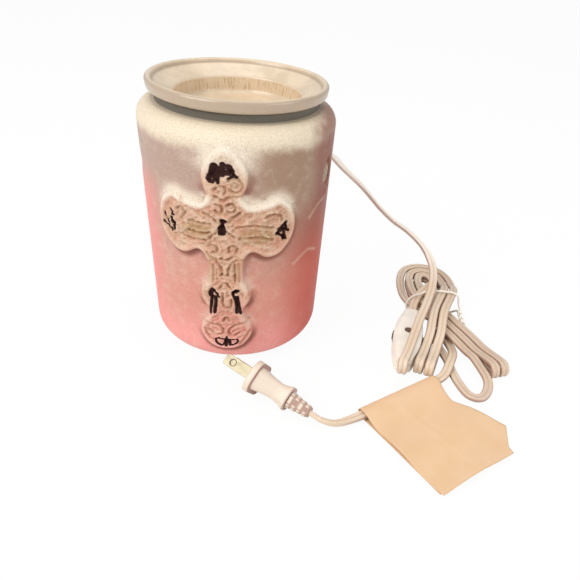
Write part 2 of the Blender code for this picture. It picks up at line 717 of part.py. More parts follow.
def make_centre_contact():
    """A bent leaf that rises from the chamber's floor to just under the lamp's tip."""
    low = HOLDER_CHAMBER_Z + FIT
    high = TIP_Z - FIT
    sheet = 0.45 * MM
    line = [(4.2, low + sheet), (-2.8, low + sheet), (-4.0, low + 1.2 * MM), (-3.0, (low + high) / 2)]
    line += [(-1.2, high - 0.5 * MM), (0.8, high), (2.6, high - 0.7 * MM)]
    data = bpy.data.meshes.new("centre_contact")
    half = 1.8 * MM
    corners = [(x * MM, y, z) for x, z in line for y in (-half, half)]
    faces = [(2 * i, 2 * i + 2, 2 * i + 3, 2 * i + 1) for i in range(len(line) - 1)]
    data.from_pydata(corners, [], faces)
    leaf = add_object("centre_contact", data, BRASS)
    thick = leaf.modifiers.new("Solidify", "SOLIDIFY")
    thick.thickness = sheet
    thick.offset = 1.0
    thick.use_even_offset = True


def make_lamp():
    tip = arc(0, TIP_Z + TIP_RADIUS, TIP_RADIUS, -35, -90, 5)
    turned("lamp_tip", [(0, TIP_Z + TIP_HEIGHT), (TIP_RADIUS, TIP_Z + TIP_HEIGHT)] + tip, NICKEL, 20)
    insulator = [(0, INSULATOR_Z + INSULATOR_HEIGHT), (CAP_RADIUS - 1.0 * MM, INSULATOR_Z + INSULATOR_HEIGHT)]
    insulator += [(TIP_RADIUS + 0.6 * MM, INSULATOR_Z), (0, INSULATOR_Z)]
    turned("lamp_insulator", insulator, PHENOLIC, 24)
    inner = CAP_RADIUS - CAP_SHEET
    cap = [(inner, CAP_Z + CAP_LENGTH), (CAP_RADIUS, CAP_Z + CAP_LENGTH), (CAP_RADIUS, CAP_Z + 1.0 * MM)]
    cap += [(CAP_RADIUS - 1.0 * MM, CAP_Z), (3.4 * MM, CAP_Z), (3.4 * MM, CAP_Z + CAP_SHEET)]
    cap += [(inner - 0.9 * MM, CAP_Z + CAP_SHEET), (inner, CAP_Z + 1.2 * MM)]
    turned("lamp_cap", cap, BRASS, 24, closed=True)
    neck = inner - FIT
    base = BULB_Z + BULB_NECK_IN_CAP
    top = base + BULB_LENGTH
    outer = [(0.0, top)]
    outer += arc(0, top - BULB_RADIUS, BULB_RADIUS, 80, 0, 7)
    outer += [(BULB_RADIUS, base + 0.42 * BULB_LENGTH), (BULB_RADIUS * 0.93, base + 0.28 * BULB_LENGTH)]
    outer += [(BULB_RADIUS * 0.68, base + 0.13 * BULB_LENGTH), (neck, base + 0.03 * BULB_LENGTH), (neck, BULB_Z)]
    inside = [(max(r - BULB_GLASS, 0.0), min(z, top - BULB_GLASS)) for r, z in reversed(outer)]
    inside[-1] = (0.0, top - BULB_GLASS)
    turned("lamp_glass", outer + inside, CLEAR_GLASS, 24)
    stem_r = neck - BULB_GLASS - FIT
    stem_top = BULB_Z + STEM_HEIGHT
    stem = [(0, stem_top), (1.9 * MM, stem_top), (2.0 * MM, BULB_Z + 6.0 * MM), (stem_r, BULB_Z + 1.8 * MM)]
    stem += [(stem_r, BULB_Z + 0.4 * MM), (0, BULB_Z + 0.4 * MM)]
    turned("lamp_stem", stem, CLEAR_GLASS, 20)
    wire_z = stem_top + FIT
    tops = wire_z + WIRE_HEIGHT
    for number, side in enumerate((-1, 1), 1):
        route = [(side * 1.2 * MM, 0, wire_z), (side * 1.2 * MM, 0, wire_z + 4 * MM)]
        route += [(side * (WIRE_SPREAD - 1 * MM), 0, tops - 5 * MM), (side * WIRE_SPREAD, 0, tops)]
        tube(f"filament_wire_{number}", route, WIRE_RADIUS, NICKEL, 1)
    coil_z = tops + WIRE_RADIUS + FIT
    coil = [
        (x, 0, coil_z + 2.4 * MM * (1 - (x / WIRE_SPREAD) ** 2))
        for x in np.linspace(-WIRE_SPREAD - 0.4 * MM, WIRE_SPREAD + 0.4 * MM, 9)
    ]
    tube("filament", coil, 0.35 * MM, NICKEL, 1)


OUTLET = around_jar(OUTLET_TURN, OUTLET_Z, jar_radius(OUTLET_Z))


def out_of_jar(distance):
    """The point on the cord outlet's axis, a distance outside the jar's wall."""
    return OUTLET @ Vector((0, 0, distance))


def make_boot():
    """The moulded boot: a flange inside the wall, a body in the hole and a tapered nose outside."""
    body = OUTLET_RADIUS - FIT
    wall = JAR_WALL
    flange_top = BOOT_FLANGE + FIT
    inner_z = -wall - FIT
    profile = [(0, BOOT_LENGTH), (BOOT_NOSE_RADIUS - 0.4 * MM, BOOT_LENGTH)]
    profile += [(BOOT_NOSE_RADIUS, BOOT_LENGTH - 0.6 * MM)]
    ribs = 3
    for rib in range(ribs):
        z = BOOT_LENGTH - (rib + 0.55) * (BOOT_LENGTH - flange_top) / (ribs + 0.4)
        radius = BOOT_NOSE_RADIUS + (body - BOOT_NOSE_RADIUS) * (rib + 1) / (ribs + 1)
        profile += [(radius, z + 0.5 * MM), (radius - 0.5 * MM, z), (radius - 0.5 * MM, z - 0.7 * MM)]
        profile += [(radius + 0.2 * MM, z - 1.2 * MM)]
    profile += [(BOOT_FLANGE_RADIUS - 0.7 * MM, flange_top), (BOOT_FLANGE_RADIUS, flange_top - 0.6 * MM)]
    profile += [(BOOT_FLANGE_RADIUS, 2 * FIT), (body, 2 * FIT), (body, inner_z - BOOT_INSIDE)]
    profile += [(0, inner_z - BOOT_INSIDE)]
    boot = turned("cord_boot", profile, CREAM_PLASTIC, 18)
    boot.matrix_world = OUTLET
    return boot


def switch_frame():
    return Matrix.Translation(SWITCH_CENTRE) @ Matrix.Rotation(math.radians(SWITCH_TURN), 4, "Z")


def switch_outline():
    """Widest over the wheel and narrow where the cord enters."""
    half = SWITCH_LENGTH / 2
    narrow = SWITCH_END_WIDTH / 2
    wide = SWITCH_WIDTH / 2
    upper = []
    for x in np.linspace(half, -half, 15):
        bulge = math.cos(math.pi / 2 * abs(x) / half) ** 0.9
        upper.append((x, narrow + (wide - narrow) * bulge))
    return upper + [(x, -y) for x, y in reversed(upper)]


def switch_half(name, upper):
    curve = outline_curve(name, switch_outline(), SWITCH_HEIGHT / 2, SWITCH_EDGE)
    curve.location.z = SWITCH_HEIGHT / 2
    data = mesh_of(curve)
    shape = bmesh.new()
    shape.from_mesh(data)
    side = 1 if upper else -1
    found = bmesh.ops.bisect_plane(
        shape,
        geom=list(shape.verts) + list(shape.edges) + list(shape.faces),
        plane_co=(0, 0, SWITCH_HEIGHT / 2 + side * FIT / 2),
        plane_no=(0, 0, side),
        clear_inner=True,
    )
    rim = [e for e in found["geom_cut"] if isinstance(e, bmesh.types.BMEdge)]
    bmesh.ops.contextual_create(shape, geom=rim)
    bmesh.ops.recalc_face_normals(shape, faces=shape.faces)
    shape.to_mesh(data)
    shape.free()
    made = add_object(name, data, CREAM_PLASTIC)
    made.matrix_world = switch_frame()
    shade_round(made, 50)
    return made


def wheel_outline():
    points = []
    for i in range(WHEEL_TEETH):
        for part, radius in ((0.0, WHEEL_RADIUS), (0.38, WHEEL_RADIUS), (0.5, WHEEL_RADIUS - WHEEL_TOOTH)):
            turn = 2 * math.pi * (i + part) / WHEEL_TEETH
            points.append((radius * math.cos(turn), radius * math.sin(turn)))
    return points


def make_switch():
    frame = switch_frame()
    middle = SWITCH_HEIGHT / 2
    upper = switch_half("switch_cover", True)
    lower = switch_half("switch_base", False)
    pocket_depth = WHEEL_THICKNESS + 2 * FIT
    pocket = cylinder(
        "wheel_pocket",
        WHEEL_RADIUS + 2 * FIT,
        pocket_depth,
        frame @ Matrix.Translation((0, 0, middle)),
        segments=48,
    )
    cut(upper, pocket)
    cut(lower, pocket)
    bore_middle = PIN_LOW_Z - FIT + SWITCH_HEIGHT / 2
    shaft = cylinder(
        "pin_bore", PIN_RADIUS + FIT, SWITCH_HEIGHT, frame @ Matrix.Translation((0, 0, bore_middle)), segments=20
    )
    seat_z = SWITCH_HEIGHT - PIN_HEAD_HEIGHT - FIT
    seat = cylinder(
        "pin_seat", PIN_HEAD_RADIUS + FIT, 4 * MM, frame @ Matrix.Translation((0, 0, seat_z + 2 * MM)), segments=24
    )
    cut(upper, shaft, seat)
    cut(lower, shaft)
    wheel_curve = outline_curve("switch_wheel", wheel_outline(), WHEEL_THICKNESS / 2, 0.3 * MM)
    wheel = add_object("switch_wheel", mesh_of(wheel_curve), BROWN_PLASTIC)
    wheel.matrix_world = frame @ Matrix.Translation((0, 0, middle))
    cut(wheel, shaft)
    head_top = SWITCH_HEIGHT
    neck = head_top - PIN_HEAD_HEIGHT
    pin = [(0, head_top), (PIN_HEAD_RADIUS - 0.4 * MM, head_top), (PIN_HEAD_RADIUS, head_top - 0.4 * MM)]
    pin += [(PIN_HEAD_RADIUS, neck), (PIN_RADIUS, neck), (PIN_RADIUS, PIN_LOW_Z + 0.3 * MM)]
    pin += [(PIN_RADIUS - 0.3 * MM, PIN_LOW_Z), (0, PIN_LOW_Z)]
    turned("switch_pin", pin, BROWN_PLASTIC, 20).matrix_world = frame
    for number, side in enumerate((-1, 1), 1):
        at = frame @ Matrix.Translation((side * SWITCH_SCREW_OFFSET, 0, 0))
        well = cylinder(
            f"screw_well_{number}", SWITCH_SCREW_HEAD + FIT, 6 * MM, at, segments=16
        )
        bore = cylinder(
            f"screw_bore_{number}",
            SWITCH_SCREW_RADIUS + FIT,
            23.0 * MM,
            at,
            segments=14,
        )
        cut(lower, well, bore)
        cut(upper, bore)
        head_z = 3.0 * MM - FIT - SCREW_HEAD_HEIGHT
        made = screw(f"switch_screw_{number}", head_z, 10.5 * MM, (0, 0, 0), SWITCH_SCREW_RADIUS, SWITCH_SCREW_HEAD)
        made.matrix_world = at


def plug_frame():
    """A frame on the plug's front face: X runs forwards along the blades, Y from one blade to the other."""
    ahead = -PLUG_BACKWARDS.normalized()
    across = (PLUG_ACROSS - PLUG_ACROSS.dot(ahead) * ahead).normalized()
    turn = Matrix((ahead, across, ahead.cross(across))).transposed()
    return Matrix.Translation(PLUG_FACE) @ turn.to_4x4()


def oval_section(width, height, steps=5):
    """A rounded rectangle as points in a plane, the same number for every size."""
    corner = 0.32 * min(width, height)
    points = []
    for quarter in range(4):
        cx = (width / 2 - corner) * (1, -1, -1, 1)[quarter]
        cz = (height / 2 - corner) * (1, 1, -1, -1)[quarter]
        points += arc(cx, cz, corner, 90 * quarter, 90 * quarter + 90, steps)
    return points


def loft(name, stations, finish, place=PARTS):
    """Joins ovals, each given by its distance along -X, its width and its height, into one closed solid."""
    shape = bmesh.new()
    rings = []
    for back, width, height in stations:
        rings.append([shape.verts.new((-back, y, z)) for y, z in oval_section(width, height)])
    for one, two in zip(rings, rings[1:]):
        count = len(one)
        for i in range(count):
            shape.faces.new((one[i], one[(i + 1) % count], two[(i + 1) % count], two[i]))
    shape.faces.new(rings[0])
    shape.faces.new(rings[-1])
    bmesh.ops.recalc_face_normals(shape, faces=shape.faces)
    data = bpy.data.meshes.new(name)
    shape.to_mesh(data)
    shape.free()
    made = add_object(name, data, finish, place)
    made.matrix_world = plug_frame()
    shade_round(made, 40)
    return made


def make_plug():
    flange = PLUG_FLANGE_LENGTH
    edge = 1.0 * MM
    middle = (PLUG_SHOULDER_WIDTH + PLUG_WAIST_WIDTH) / 2
    body = loft(
        "plug_body",
        [
            (0.0, PLUG_FLANGE_WIDTH - edge, PLUG_FLANGE_HEIGHT - edge),
            (0.5 * MM, PLUG_FLANGE_WIDTH, PLUG_FLANGE_HEIGHT),
            (flange - 0.5 * MM, PLUG_FLANGE_WIDTH, PLUG_FLANGE_HEIGHT),
            (flange, PLUG_FLANGE_WIDTH - edge, PLUG_FLANGE_HEIGHT - edge),
            (flange + 0.4 * MM, PLUG_SHOULDER_WIDTH, PLUG_SHOULDER_HEIGHT),
            (9.4 * MM, middle, PLUG_WAIST_HEIGHT + 1.0 * MM),
            (14.6 * MM, PLUG_WAIST_WIDTH, PLUG_WAIST_HEIGHT),
            (17.6 * MM, PLUG_WAIST_WIDTH - 0.8 * MM, PLUG_WAIST_HEIGHT + 0.4 * MM),
            (20.2 * MM, PLUG_WAIST_WIDTH - 0.6 * MM, PLUG_WAIST_HEIGHT + 1.6 * MM),
            (21.6 * MM, PLUG_RING_WIDTH, PLUG_RING_HEIGHT),
            (PLUG_LENGTH - 0.5 * MM, PLUG_RING_WIDTH, PLUG_RING_HEIGHT),
            (PLUG_LENGTH, PLUG_RING_WIDTH - edge, PLUG_RING_HEIGHT - edge),
        ],
        CREAM_PLASTIC,
    )
    root_w = 9.0 * MM
    root_h = 6.4 * MM
    root_start = PLUG_LENGTH - RELIEF_ROOT
    pocket_w = root_w + 2 * FIT
    pocket_h = root_h + 2 * FIT
    pocket = [(root_start - FIT, pocket_w, pocket_h), (PLUG_LENGTH + 4 * MM, pocket_w, pocket_h)]
    cut(body, loft("relief_pocket", pocket, None, CUTTERS))
    start = PLUG_LENGTH + FIT
    stations = [(root_start, root_w, root_h), (start - 0.01 * MM, root_w, root_h)]
    wide = 10.6 * MM
    high = 8.2 * MM
    end_wide = CORD_WIDTH + 1.6 * MM
    end_high = CORD_THICKNESS + 2.8 * MM
    for rib in range(RELIEF_RIBS):
        for part, swell in ((0.0, 0.0), (0.12, 0.8), (0.52, 0.8), (0.64, 0.0)):
            t = (rib + part) / RELIEF_RIBS
            width = wide + (end_wide - wide) * t + swell * MM
            height = high + (end_high - high) * t + swell * MM
            stations.append((start + RELIEF_LENGTH * t, width, height))
    stations.append((start + RELIEF_LENGTH, end_wide, end_high))
    loft("plug_relief", stations, CREAM_PLASTIC)
    upright = Matrix.Rotation(math.radians(90.0), 4, "X")
    for number, side in enumerate((-1, 1), 1):
        half = BLADE_WIDTH / 2
        tip = 1.6 * MM
        outline = [(FIT, -half), (BLADE_LENGTH - tip, -half), (BLADE_LENGTH, -half + tip)]
        outline += [(BLADE_LENGTH, half - tip), (BLADE_LENGTH - tip, half), (FIT, half)]
        curve = outline_curve(f"plug_blade_{number}", outline, BLADE_THICKNESS / 2, 0.2 * MM)
        blade = add_object(f"plug_blade_{number}", mesh_of(curve), NICKEL)
        blade.matrix_world = plug_frame() @ Matrix.Translation((0, side * BLADE_SPACING / 2, 0)) @ upright
        hole_x = BLADE_LENGTH - BLADE_HOLE_FROM_TIP
        hole_at = plug_frame() @ Matrix.Translation((hole_x, side * BLADE_SPACING / 2, 0))
        cut(blade, cylinder("blade_hole", BLADE_HOLE_RADIUS, 6 * MM, hole_at @ upright, segments=16))


def flat_across(points):
    """The level direction to the left of travel, for a cord that lies on its wide side."""
    along = directions(np.array(points, float))
    across = np.cross(np.array([0.0, 0.0, 1.0]), along)
    return across / np.linalg.norm(across, axis=1)[:, None]


def square_to_travel(points, across):
    along = directions(np.array(points, float))
    level = across - (across * along).sum(1)[:, None] * along
    return level / np.linalg.norm(level, axis=1)[:, None]


def mm_points(rows):
    return [tuple(v * MM for v in row) for row in rows]


# Knots of the lead between the boot and the switch
LEAD_ROUTE = [
    (46.0, 51.1, 96.8),
    (49.6, 53.6, 95.4),
    (54.6, 53.6, 91.8),
    (62.9, 50.2, 85.0),
    (75.0, 49.8, 74.6),
    (88.0, 50.4, 60.8),
    (98.4, 51.4, 51.6),
    (110.0, 52.2, 43.8),
    (120.2, 49.6, 35.8),
    (126.0, 44.0, 29.4),
    (128.0, 33.0, 24.6),
    (125.3, 17.6, 20.6),
    (120.2, 2.8, 18.2),
    (113.6, -14.0, 15.8),
    (108.0, -30.5, 15.1),
    (103.2, -44.5, 14.9),
]

# Middle line of the tied band, from its left lobe round the ring to its right lobe, with its height
BAND_LINE = [
    (114.2, -45.8, 5.8),
    (117.2, -37.6, 4.9),
    (120.6, -28.5, 6.4),
    (124.0, -19.0, 8.9),
    (126.4, -9.0, 10.6),
    (129.4, 4.0, 12.1),
    (134.5, 20.0, 12.6),
    (138.0, 33.0, 10.1),
    (139.3, 44.0, 5.4),
    (139.3, 54.5, 3.6),
    (135.8, 63.2, 3.4),
    (127.8, 66.8, 3.4),
    (119.8, 63.2, 3.4),
    (116.6, 54.5, 3.4),
    (116.5, 45.0, 3.4),
    (117.2, 35.5, 4.0),
    (120.3, 25.0, 5.1),
    (123.4, 18.6, 5.4),
    (128.0, 10.6, 5.3),
    (133.0, 3.0, 4.5),
    (137.4, -4.0, 3.7),
    (142.4, -13.0, 3.4),
    (147.0, -23.5, 3.5),
    (151.0, -34.0, 4.4),
    (154.6, -45.0, 5.8),
]

# Knots of the first lap between the switch and the band
FIRST_LAP = [(115.3, 16.6, 8.6), (118.4, 22.6, 10.8), (123.4, 29.6, 12.0), (129.0, 36.6, 12.2)]

# Knots of the loose last loop, from the right lobe back under the left one
LAST_LOOP = [
    (150.2, -52.0, 4.6),
    (149.0, -60.5, 3.0),
    (144.2, -66.4, 2.0),
    (138.0, -65.0, 1.9),
    (134.2, -56.5, 1.8),
    (131.6, -45.0, 1.7),
    (130.4, -33.0, 1.7),
    (128.0, -24.6, 1.7),
    (126.8, -18.6, 1.7),
]

# Knots of the tail, from under the crossing to the tag and on to the plug
TAIL_START = [
    (126.2, -7.8, 1.7),
    (129.6, -4.2, 1.7),
    (133.0, -8.4, 1.7),
    (133.6, -15.6, 1.7),
    (134.8, -23.6, 2.3),
    (133.6, -31.6, 4.3),
    (130.6, -39.6, 5.2),
    (127.4, -47.0, 4.4),
    (124.4, -51.6, 3.6),
    (119.0, -55.9, 3.2),
    (108.0, -63.6, 3.2),
    (92.0, -74.8, 3.2),
    (80.0, -83.2, 3.2),
    (72.0, -88.4, 3.1),
    (64.0, -92.6, 3.2),
    (58.4, -93.6, 3.9),
]


def plug_end(distance):
    """The point on the plug's axis, a distance behind the end of its relief."""
    return np.array(plug_frame() @ Vector((-(PLUG_LENGTH + FIT + RELIEF_LENGTH + distance), 0, 0)))


def switch_side(side, distance):
    """The point on the switch's axis, a distance outside one of its ends."""
    return np.array(switch_frame() @ Vector((side * (SWITCH_LENGTH / 2 + distance), 0, SWITCH_HEIGHT / 2)))


def half_turn(centre, ahead, radius, start, end, count):
    """Points of a fold in the upright plane through the travel, from one angle to the other."""
    up = np.array([0.0, 0.0, 1.0])
    turns = np.radians(np.linspace(start, end, count))
    return [centre + radius * (math.cos(t) * ahead + math.sin(t) * up) for t in turns]


def thinned(points, across):
    """Keeps few points where a cord runs straight and more where it bends."""
    along = np.diff(points, axis=0)
    length = np.linalg.norm(along, axis=1)
    along /= length[:, None]
    bend = np.degrees(np.arccos(np.clip((along[1:] * along[:-1]).sum(1), -1, 1)))
    cost = np.r_[0, np.cumsum(length / HANK_STEP + np.r_[0, bend] / HANK_TURN)]
    marks = np.linspace(0, cost[-1], math.ceil(cost[-1]) + 1)
    place = np.stack([np.interp(marks, cost, points[:, k]) for k in range(3)], 1)
    side = np.stack([np.interp(marks, cost, across[:, k]) for k in range(3)], 1)
    return place, side


def cord_length(points):
    return float(np.linalg.norm(np.diff(points, axis=0), axis=1).sum())


def least_self_gap(points, across):
    """The smallest gap between two stretches of one flat cord, from the middles of its two wires."""
    fine = np.linspace(0, len(points) - 1, 4 * len(points))
    place = np.stack([np.interp(fine, range(len(points)), points[:, k]) for k in range(3)], 1)
    side = np.stack([np.interp(fine, range(len(points)), across[:, k]) for k in range(3)], 1)
    along = np.r_[0, np.cumsum(np.linalg.norm(np.diff(place, axis=0), axis=1))]
    half = (CORD_WIDTH - CORD_THICKNESS) / 2
    shifts = np.linspace(-half, half, 5)
    cloud = (place[:, None] + shifts[None, :, None] * side[:, None]).reshape(-1, 3)
    marks = np.repeat(along, len(shifts))
    least = 1.0
    for i in range(0, len(cloud), 200):
        apart = np.linalg.norm(cloud[i : i + 200, None] - cloud[None], axis=2)
        apart[np.abs(marks[i : i + 200, None] - marks[None]) < 13.5 * MM] = 1.0
        least = min(least, float(apart.min()))
    return least - CORD_THICKNESS


class Band:
    """The line that the hank's laps follow side by side, in two layers."""

    def __init__(self):
        self.line = smooth_route(mm_points(BAND_LINE), 1.0 * MM)
        level = self.line[:, :2]
        self.along = np.r_[0, np.cumsum(np.linalg.norm(np.diff(level, axis=0), axis=1))]
        ahead = directions(np.c_[level, np.zeros(len(level))])
        self.left = np.c_[-ahead[:, 1], ahead[:, 0], np.zeros(len(level))]
        self.ahead = ahead
        self.length = self.along[-1]

    def at(self, row):
        """How far along the band one of its knots is."""
        knot = np.array(mm_points([BAND_LINE[row]])[0])
        return float(self.along[np.argmin(np.linalg.norm(self.line - knot, axis=1))])

    def lap(self, marks, lane, layer):
        """Points and wide-side directions of a lap at marks; lane and layer may change along it."""
        marks = np.array(marks)
        lane = np.broadcast_to(lane, marks.shape)
        layer = np.broadcast_to(layer, marks.shape)
        middle = np.stack([np.interp(marks, self.along, self.line[:, k]) for k in range(3)], 1)
        left = np.stack([np.interp(marks, self.along, self.left[:, k]) for k in range(3)], 1)
        to_end = np.clip(np.minimum(marks, self.length - marks) / HANK_FOLD_REACH, 0, 1)
        ease = to_end * to_end * (3 - 2 * to_end)
        half = HANK_FOLD + (HANK_LAYER - HANK_FOLD) * ease
        points = middle + (lane * HANK_PITCH)[:, None] * left
        points[:, 2] += layer * half
        return points, left


def ease_between(marks, start, end, first, last):
    t = np.clip((np.array(marks) - start) / (end - start), 0, 1)
    return first + (last - first) * t * t * (3 - 2 * t)


def make_hank():
    """One unbroken cord: five laps along the band, a loose loop, and folds between the laps at the lobes."""
    band = Band()
    fine = 1.5 * MM
    up_marks = np.arange(0, band.length, fine)
    crossing = band.at(5)
    ring = band.at(8)
    points = []
    across = []

    def add(more, sides):
        points.append(np.array(more))
        across.append(np.broadcast_to(sides, np.array(more).shape))

    def fold(lane, at_right, downwards):
        mark = band.length if at_right else 0.0
        top = band.lap([mark], lane, 0.0)
        ahead = band.ahead[-1] if at_right else -band.ahead[0]
        turn = half_turn(top[0][0], ahead, HANK_FOLD, 80, -80, 9)
        add(turn if downwards else turn[::-1], top[1][0])

    start = switch_side(1, FIT)
    straight = switch_side(1, FIT + CORD_WIDTH)
    joined = band.lap([ring, ring + 6 * MM], 1.0, 1.0)[0]
    knots = [start, switch_side(1, FIT + CORD_WIDTH / 2), straight, *mm_points(FIRST_LAP), *joined]
    route = smooth_route(knots, fine)
    keep = np.argmin(np.linalg.norm(route - joined[0], axis=1))
    add(route[:keep], flat_across(route)[:keep])
    marks = up_marks[up_marks > ring]
    add(*band.lap(marks, 1.0, 1.0))
    fold(1.0, True, True)
    lane_in = ease_between(up_marks, crossing - 14 * MM, ring - 6 * MM, 0.5, 1.0)
    add(*(row[::-1] for row in band.lap(up_marks, lane_in, -1.0)))
    fold(0.5, False, False)
    lane_out = ease_between(up_marks, crossing - 14 * MM, ring - 6 * MM, 0.5, 0.0)
    add(*band.lap(up_marks, lane_out, 1.0))
    fold(0.0, True, True)
    add(*(row[::-1] for row in band.lap(up_marks, lane_in - 1.0, -1.0)))
    fold(-0.5, False, False)
    dip = ease_between(up_marks, band.at(12), band.at(14), 1.0, -1.0)
    rise = ease_between(up_marks, band.at(17) + 1 * MM, band.at(19), 0.0, 2.0)
    lap, side = band.lap(up_marks, lane_out - 1.0, dip + rise)
    leave = np.searchsorted(up_marks, band.at(23))
    add(lap[:leave], side[:leave])
    last = np.array(mm_points(LAST_LOOP))
    heading = last[-1] - last[-2]
    heading = np.array([-0.10, 0.995, 0.0])
    loop = smooth_route([lap[leave - 5], lap[leave - 1], *last, last[-1] + heading * CORD_WIDTH], fine)
    keep = np.argmin(np.linalg.norm(loop - lap[leave - 1], axis=1)) + 1
    add(loop[keep:], flat_across(loop)[keep:])
    points = np.vstack(points)
    across = square_to_travel(points, np.vstack(across))
    points, across = thinned(points, across)
    across = square_to_travel(points, across)
    flat_cord("cord_hank", points, across, CORD_VINYL)
    gap = least_self_gap(points, across)
    print(f"cord_hank: {len(points)} points, {cord_length(points) * 1000:.1f} mm, least gap {gap * 1000:.2f} mm")
    return points[-1], heading


def make_lead():
    start = [np.array(out_of_jar(BOOT_LENGTH + FIT + d * MM)) for d in (0.0, 2.6)]
    ahead = np.array(switch_frame().to_3x3() @ Vector((-1, 0, 0)))
    middle = switch_side(-1, FIT + CORD_WIDTH)
    turn_radius = 4.2 * MM
    turn_centre = middle + np.array([0, 0, turn_radius])
    turn = half_turn(turn_centre, ahead, turn_radius, 75, -75, 6)
    knots = [*start, *mm_points(LEAD_ROUTE), *turn, middle, switch_side(-1, FIT + 2.8 * MM), switch_side(-1, FIT)]
    dense = smooth_route(knots, 1.0 * MM)
    across = flat_across(dense)
    side = np.cross(ahead, np.array([0, 0, 1.0]))
    near = np.linalg.norm(dense - turn_centre, axis=1) < 16 * MM
    last = np.argmax(near)
    if (across[last - 1] * side).sum() < 0:
        side = -side
    across[last:] = side
    across = square_to_travel(dense, across)
    points, across = thinned(dense, across)
    across = square_to_travel(points, across)
    flat_cord("cord_lead", points, across, CORD_VINYL)
    print(f"cord_lead: {len(points)} points, {cord_length(points) * 1000:.1f} mm")


def make_tail(start, heading):
    begin = [start + heading * d for d in (FIT, FIT + CORD_WIDTH / 2, FIT + CORD_WIDTH)]
    end = [plug_end(FIT + CORD_WIDTH), plug_end(FIT + CORD_WIDTH / 2), plug_end(FIT)]
    dense = smooth_route([*begin, *mm_points(TAIL_START), *end], 1.0 * MM)
    across = flat_across(dense)
    plug_side = np.array(plug_frame().to_3x3() @ Vector((0, 1, 0)))
    left = np.linalg.norm(dense - end[-1], axis=1)
    share = np.clip((30 * MM - left) / (24 * MM), 0, 1)
    share[: len(dense) // 2] = 0
    across = across * (1 - share)[:, None] + plug_side * share[:, None]
    across = square_to_travel(dense, across)
    points, across = thinned(dense, across)
    across = square_to_travel(points, across)
    flat_cord("cord_tail", points, across, CORD_VINYL)
    gap = least_self_gap(points, across)
    print(f"cord_tail: {len(points)} points, {cord_length(points) * 1000:.1f} mm, least gap {gap * 1000:.2f} mm")


# Route of the twist tie round the waist of the hank, and the axis of its twisted ends
TIE_ROUTE = [
    (144.2, 15.6, 5.4),
    (137.0, 17.6, 1.3),
    (129.0, 18.2, 1.0),
    (120.0, 18.8, 1.0),
    (113.6, 19.2, 1.2),
    (111.0, 19.4, 3.6),
    (111.3, 19.6, 8.6),
    (114.6, 19.8, 12.4),
    (118.6, 20.0, 14.0),
    (123.6, 20.2, 16.4),
    (128.6, 20.2, 17.2),
    (134.6, 20.0, 17.3),
    (140.8, 19.4, 17.1),
    (144.6, 18.6, 14.6),
    (145.4, 17.4, 10.4),
]
TIE_TWIST_START = Vector((145.6, 14.0, 6.6)) * MM
TIE_TWIST_END = Vector((147.0, 2.0, 3.2)) * MM


def make_tie():
    """A wire once round the hank, whose two ends are twisted together."""
    axis = (TIE_TWIST_END - TIE_TWIST_START).normalized()
    one = axis.orthogonal().normalized()
    two = axis.cross(one)
    length = (TIE_TWIST_END - TIE_TWIST_START).length
    radius = TIE_RADIUS + 0.35 * MM

    def twist(turned_by):
        rows = []
        for t in np.linspace(0, 1, 15):
            angle = 2 * math.pi * 1.6 * t + turned_by
            off = one * math.cos(angle) + two * math.sin(angle)
            rows.append(np.array(TIE_TWIST_START + axis * length * t + off * radius))
        return rows

    first = np.array(mm_points(TIE_ROUTE))
    options = [0.5 * math.pi * k for k in range(4)]
    best = min(options, key=lambda a: np.linalg.norm(twist(a)[0] - first[0]))
    knots = twist(best)[::-1] + list(first) + twist(best + math.pi)
    tube("hank_tie", smooth_route(knots, 1.8 * MM), TIE_RADIUS, CREAM_PLASTIC, 1)


# The tag's section from its lower free edge round the cord to its upper one: distance out, and height
TAG_SECTION = [
    (58.0, 0.5),
    (44.0, 0.5),
    (30.0, 0.5),
    (16.0, 0.5),
    (6.0, 0.5),
    (0.5, 0.6),
    (-2.6, 1.2),
    (-4.0, 3.2),
    (-2.8, 5.2),
    (0.0, 5.8),
    (3.2, 5.4),
    (7.0, 3.9),
    (12.0, 2.6),
    (18.0, 2.4),
    (26.0, 3.0),
    (34.0, 3.4),
    (42.0, 2.8),
    (50.0, 2.6),
    (60.5, 3.6),
]
TAG_STEPS = 10


def tag_ends(out, upper):
    """Where the tag starts and stops along the cord at a distance out from it."""
    if upper:
        right = np.interp(out, [0, 17, 44.9, 56.5, 61.7], [53.6, 50.4, 63.0, 51.5, 50.0])
        left = np.interp(out, [0, 61.7], [0.0, 0.8])
    else:
        right = np.interp(out, [0, 20, 60], [53.2, 48.0, 44.0])
        left = np.interp(out, [0, 20, 60], [0.4, 1.0, 1.6])
    return left, right


def make_tag():
    rows = []
    for number, (out, height) in enumerate(TAG_SECTION):
        upper = number >= 8
        left, right = tag_ends(max(out, 0.0), upper)
        for t in np.linspace(0, 1, TAG_STEPS + 1):
            along = left + (right - left) * t
            wave = 0.9 * math.sin(along / 9.0 + out / 11.0) * min(max(out - 8, 0) / 20, 1) if upper else 0.0
            spot = TAG_CORNER + TAG_ALONG * along * MM + TAG_OUT * out * MM
            rows.append((spot.x, spot.y, (height + wave) * MM))
    width = TAG_STEPS + 1
    faces = []
    for i in range(len(TAG_SECTION) - 1):
        for j in range(TAG_STEPS):
            corner = i * width + j
            faces.append((corner, corner + 1, corner + width + 1, corner + width))
    data = bpy.data.meshes.new("cord_tag")
    data.from_pydata(rows, [], faces)
    tag = add_object("cord_tag", data, TAG_PAPER)
    sheet = tag.modifiers.new("Solidify", "SOLIDIFY")
    sheet.thickness = TAG_SHEET
    sheet.offset = 0.0
    sheet.use_even_offset = True
    shade_round(tag, 60)


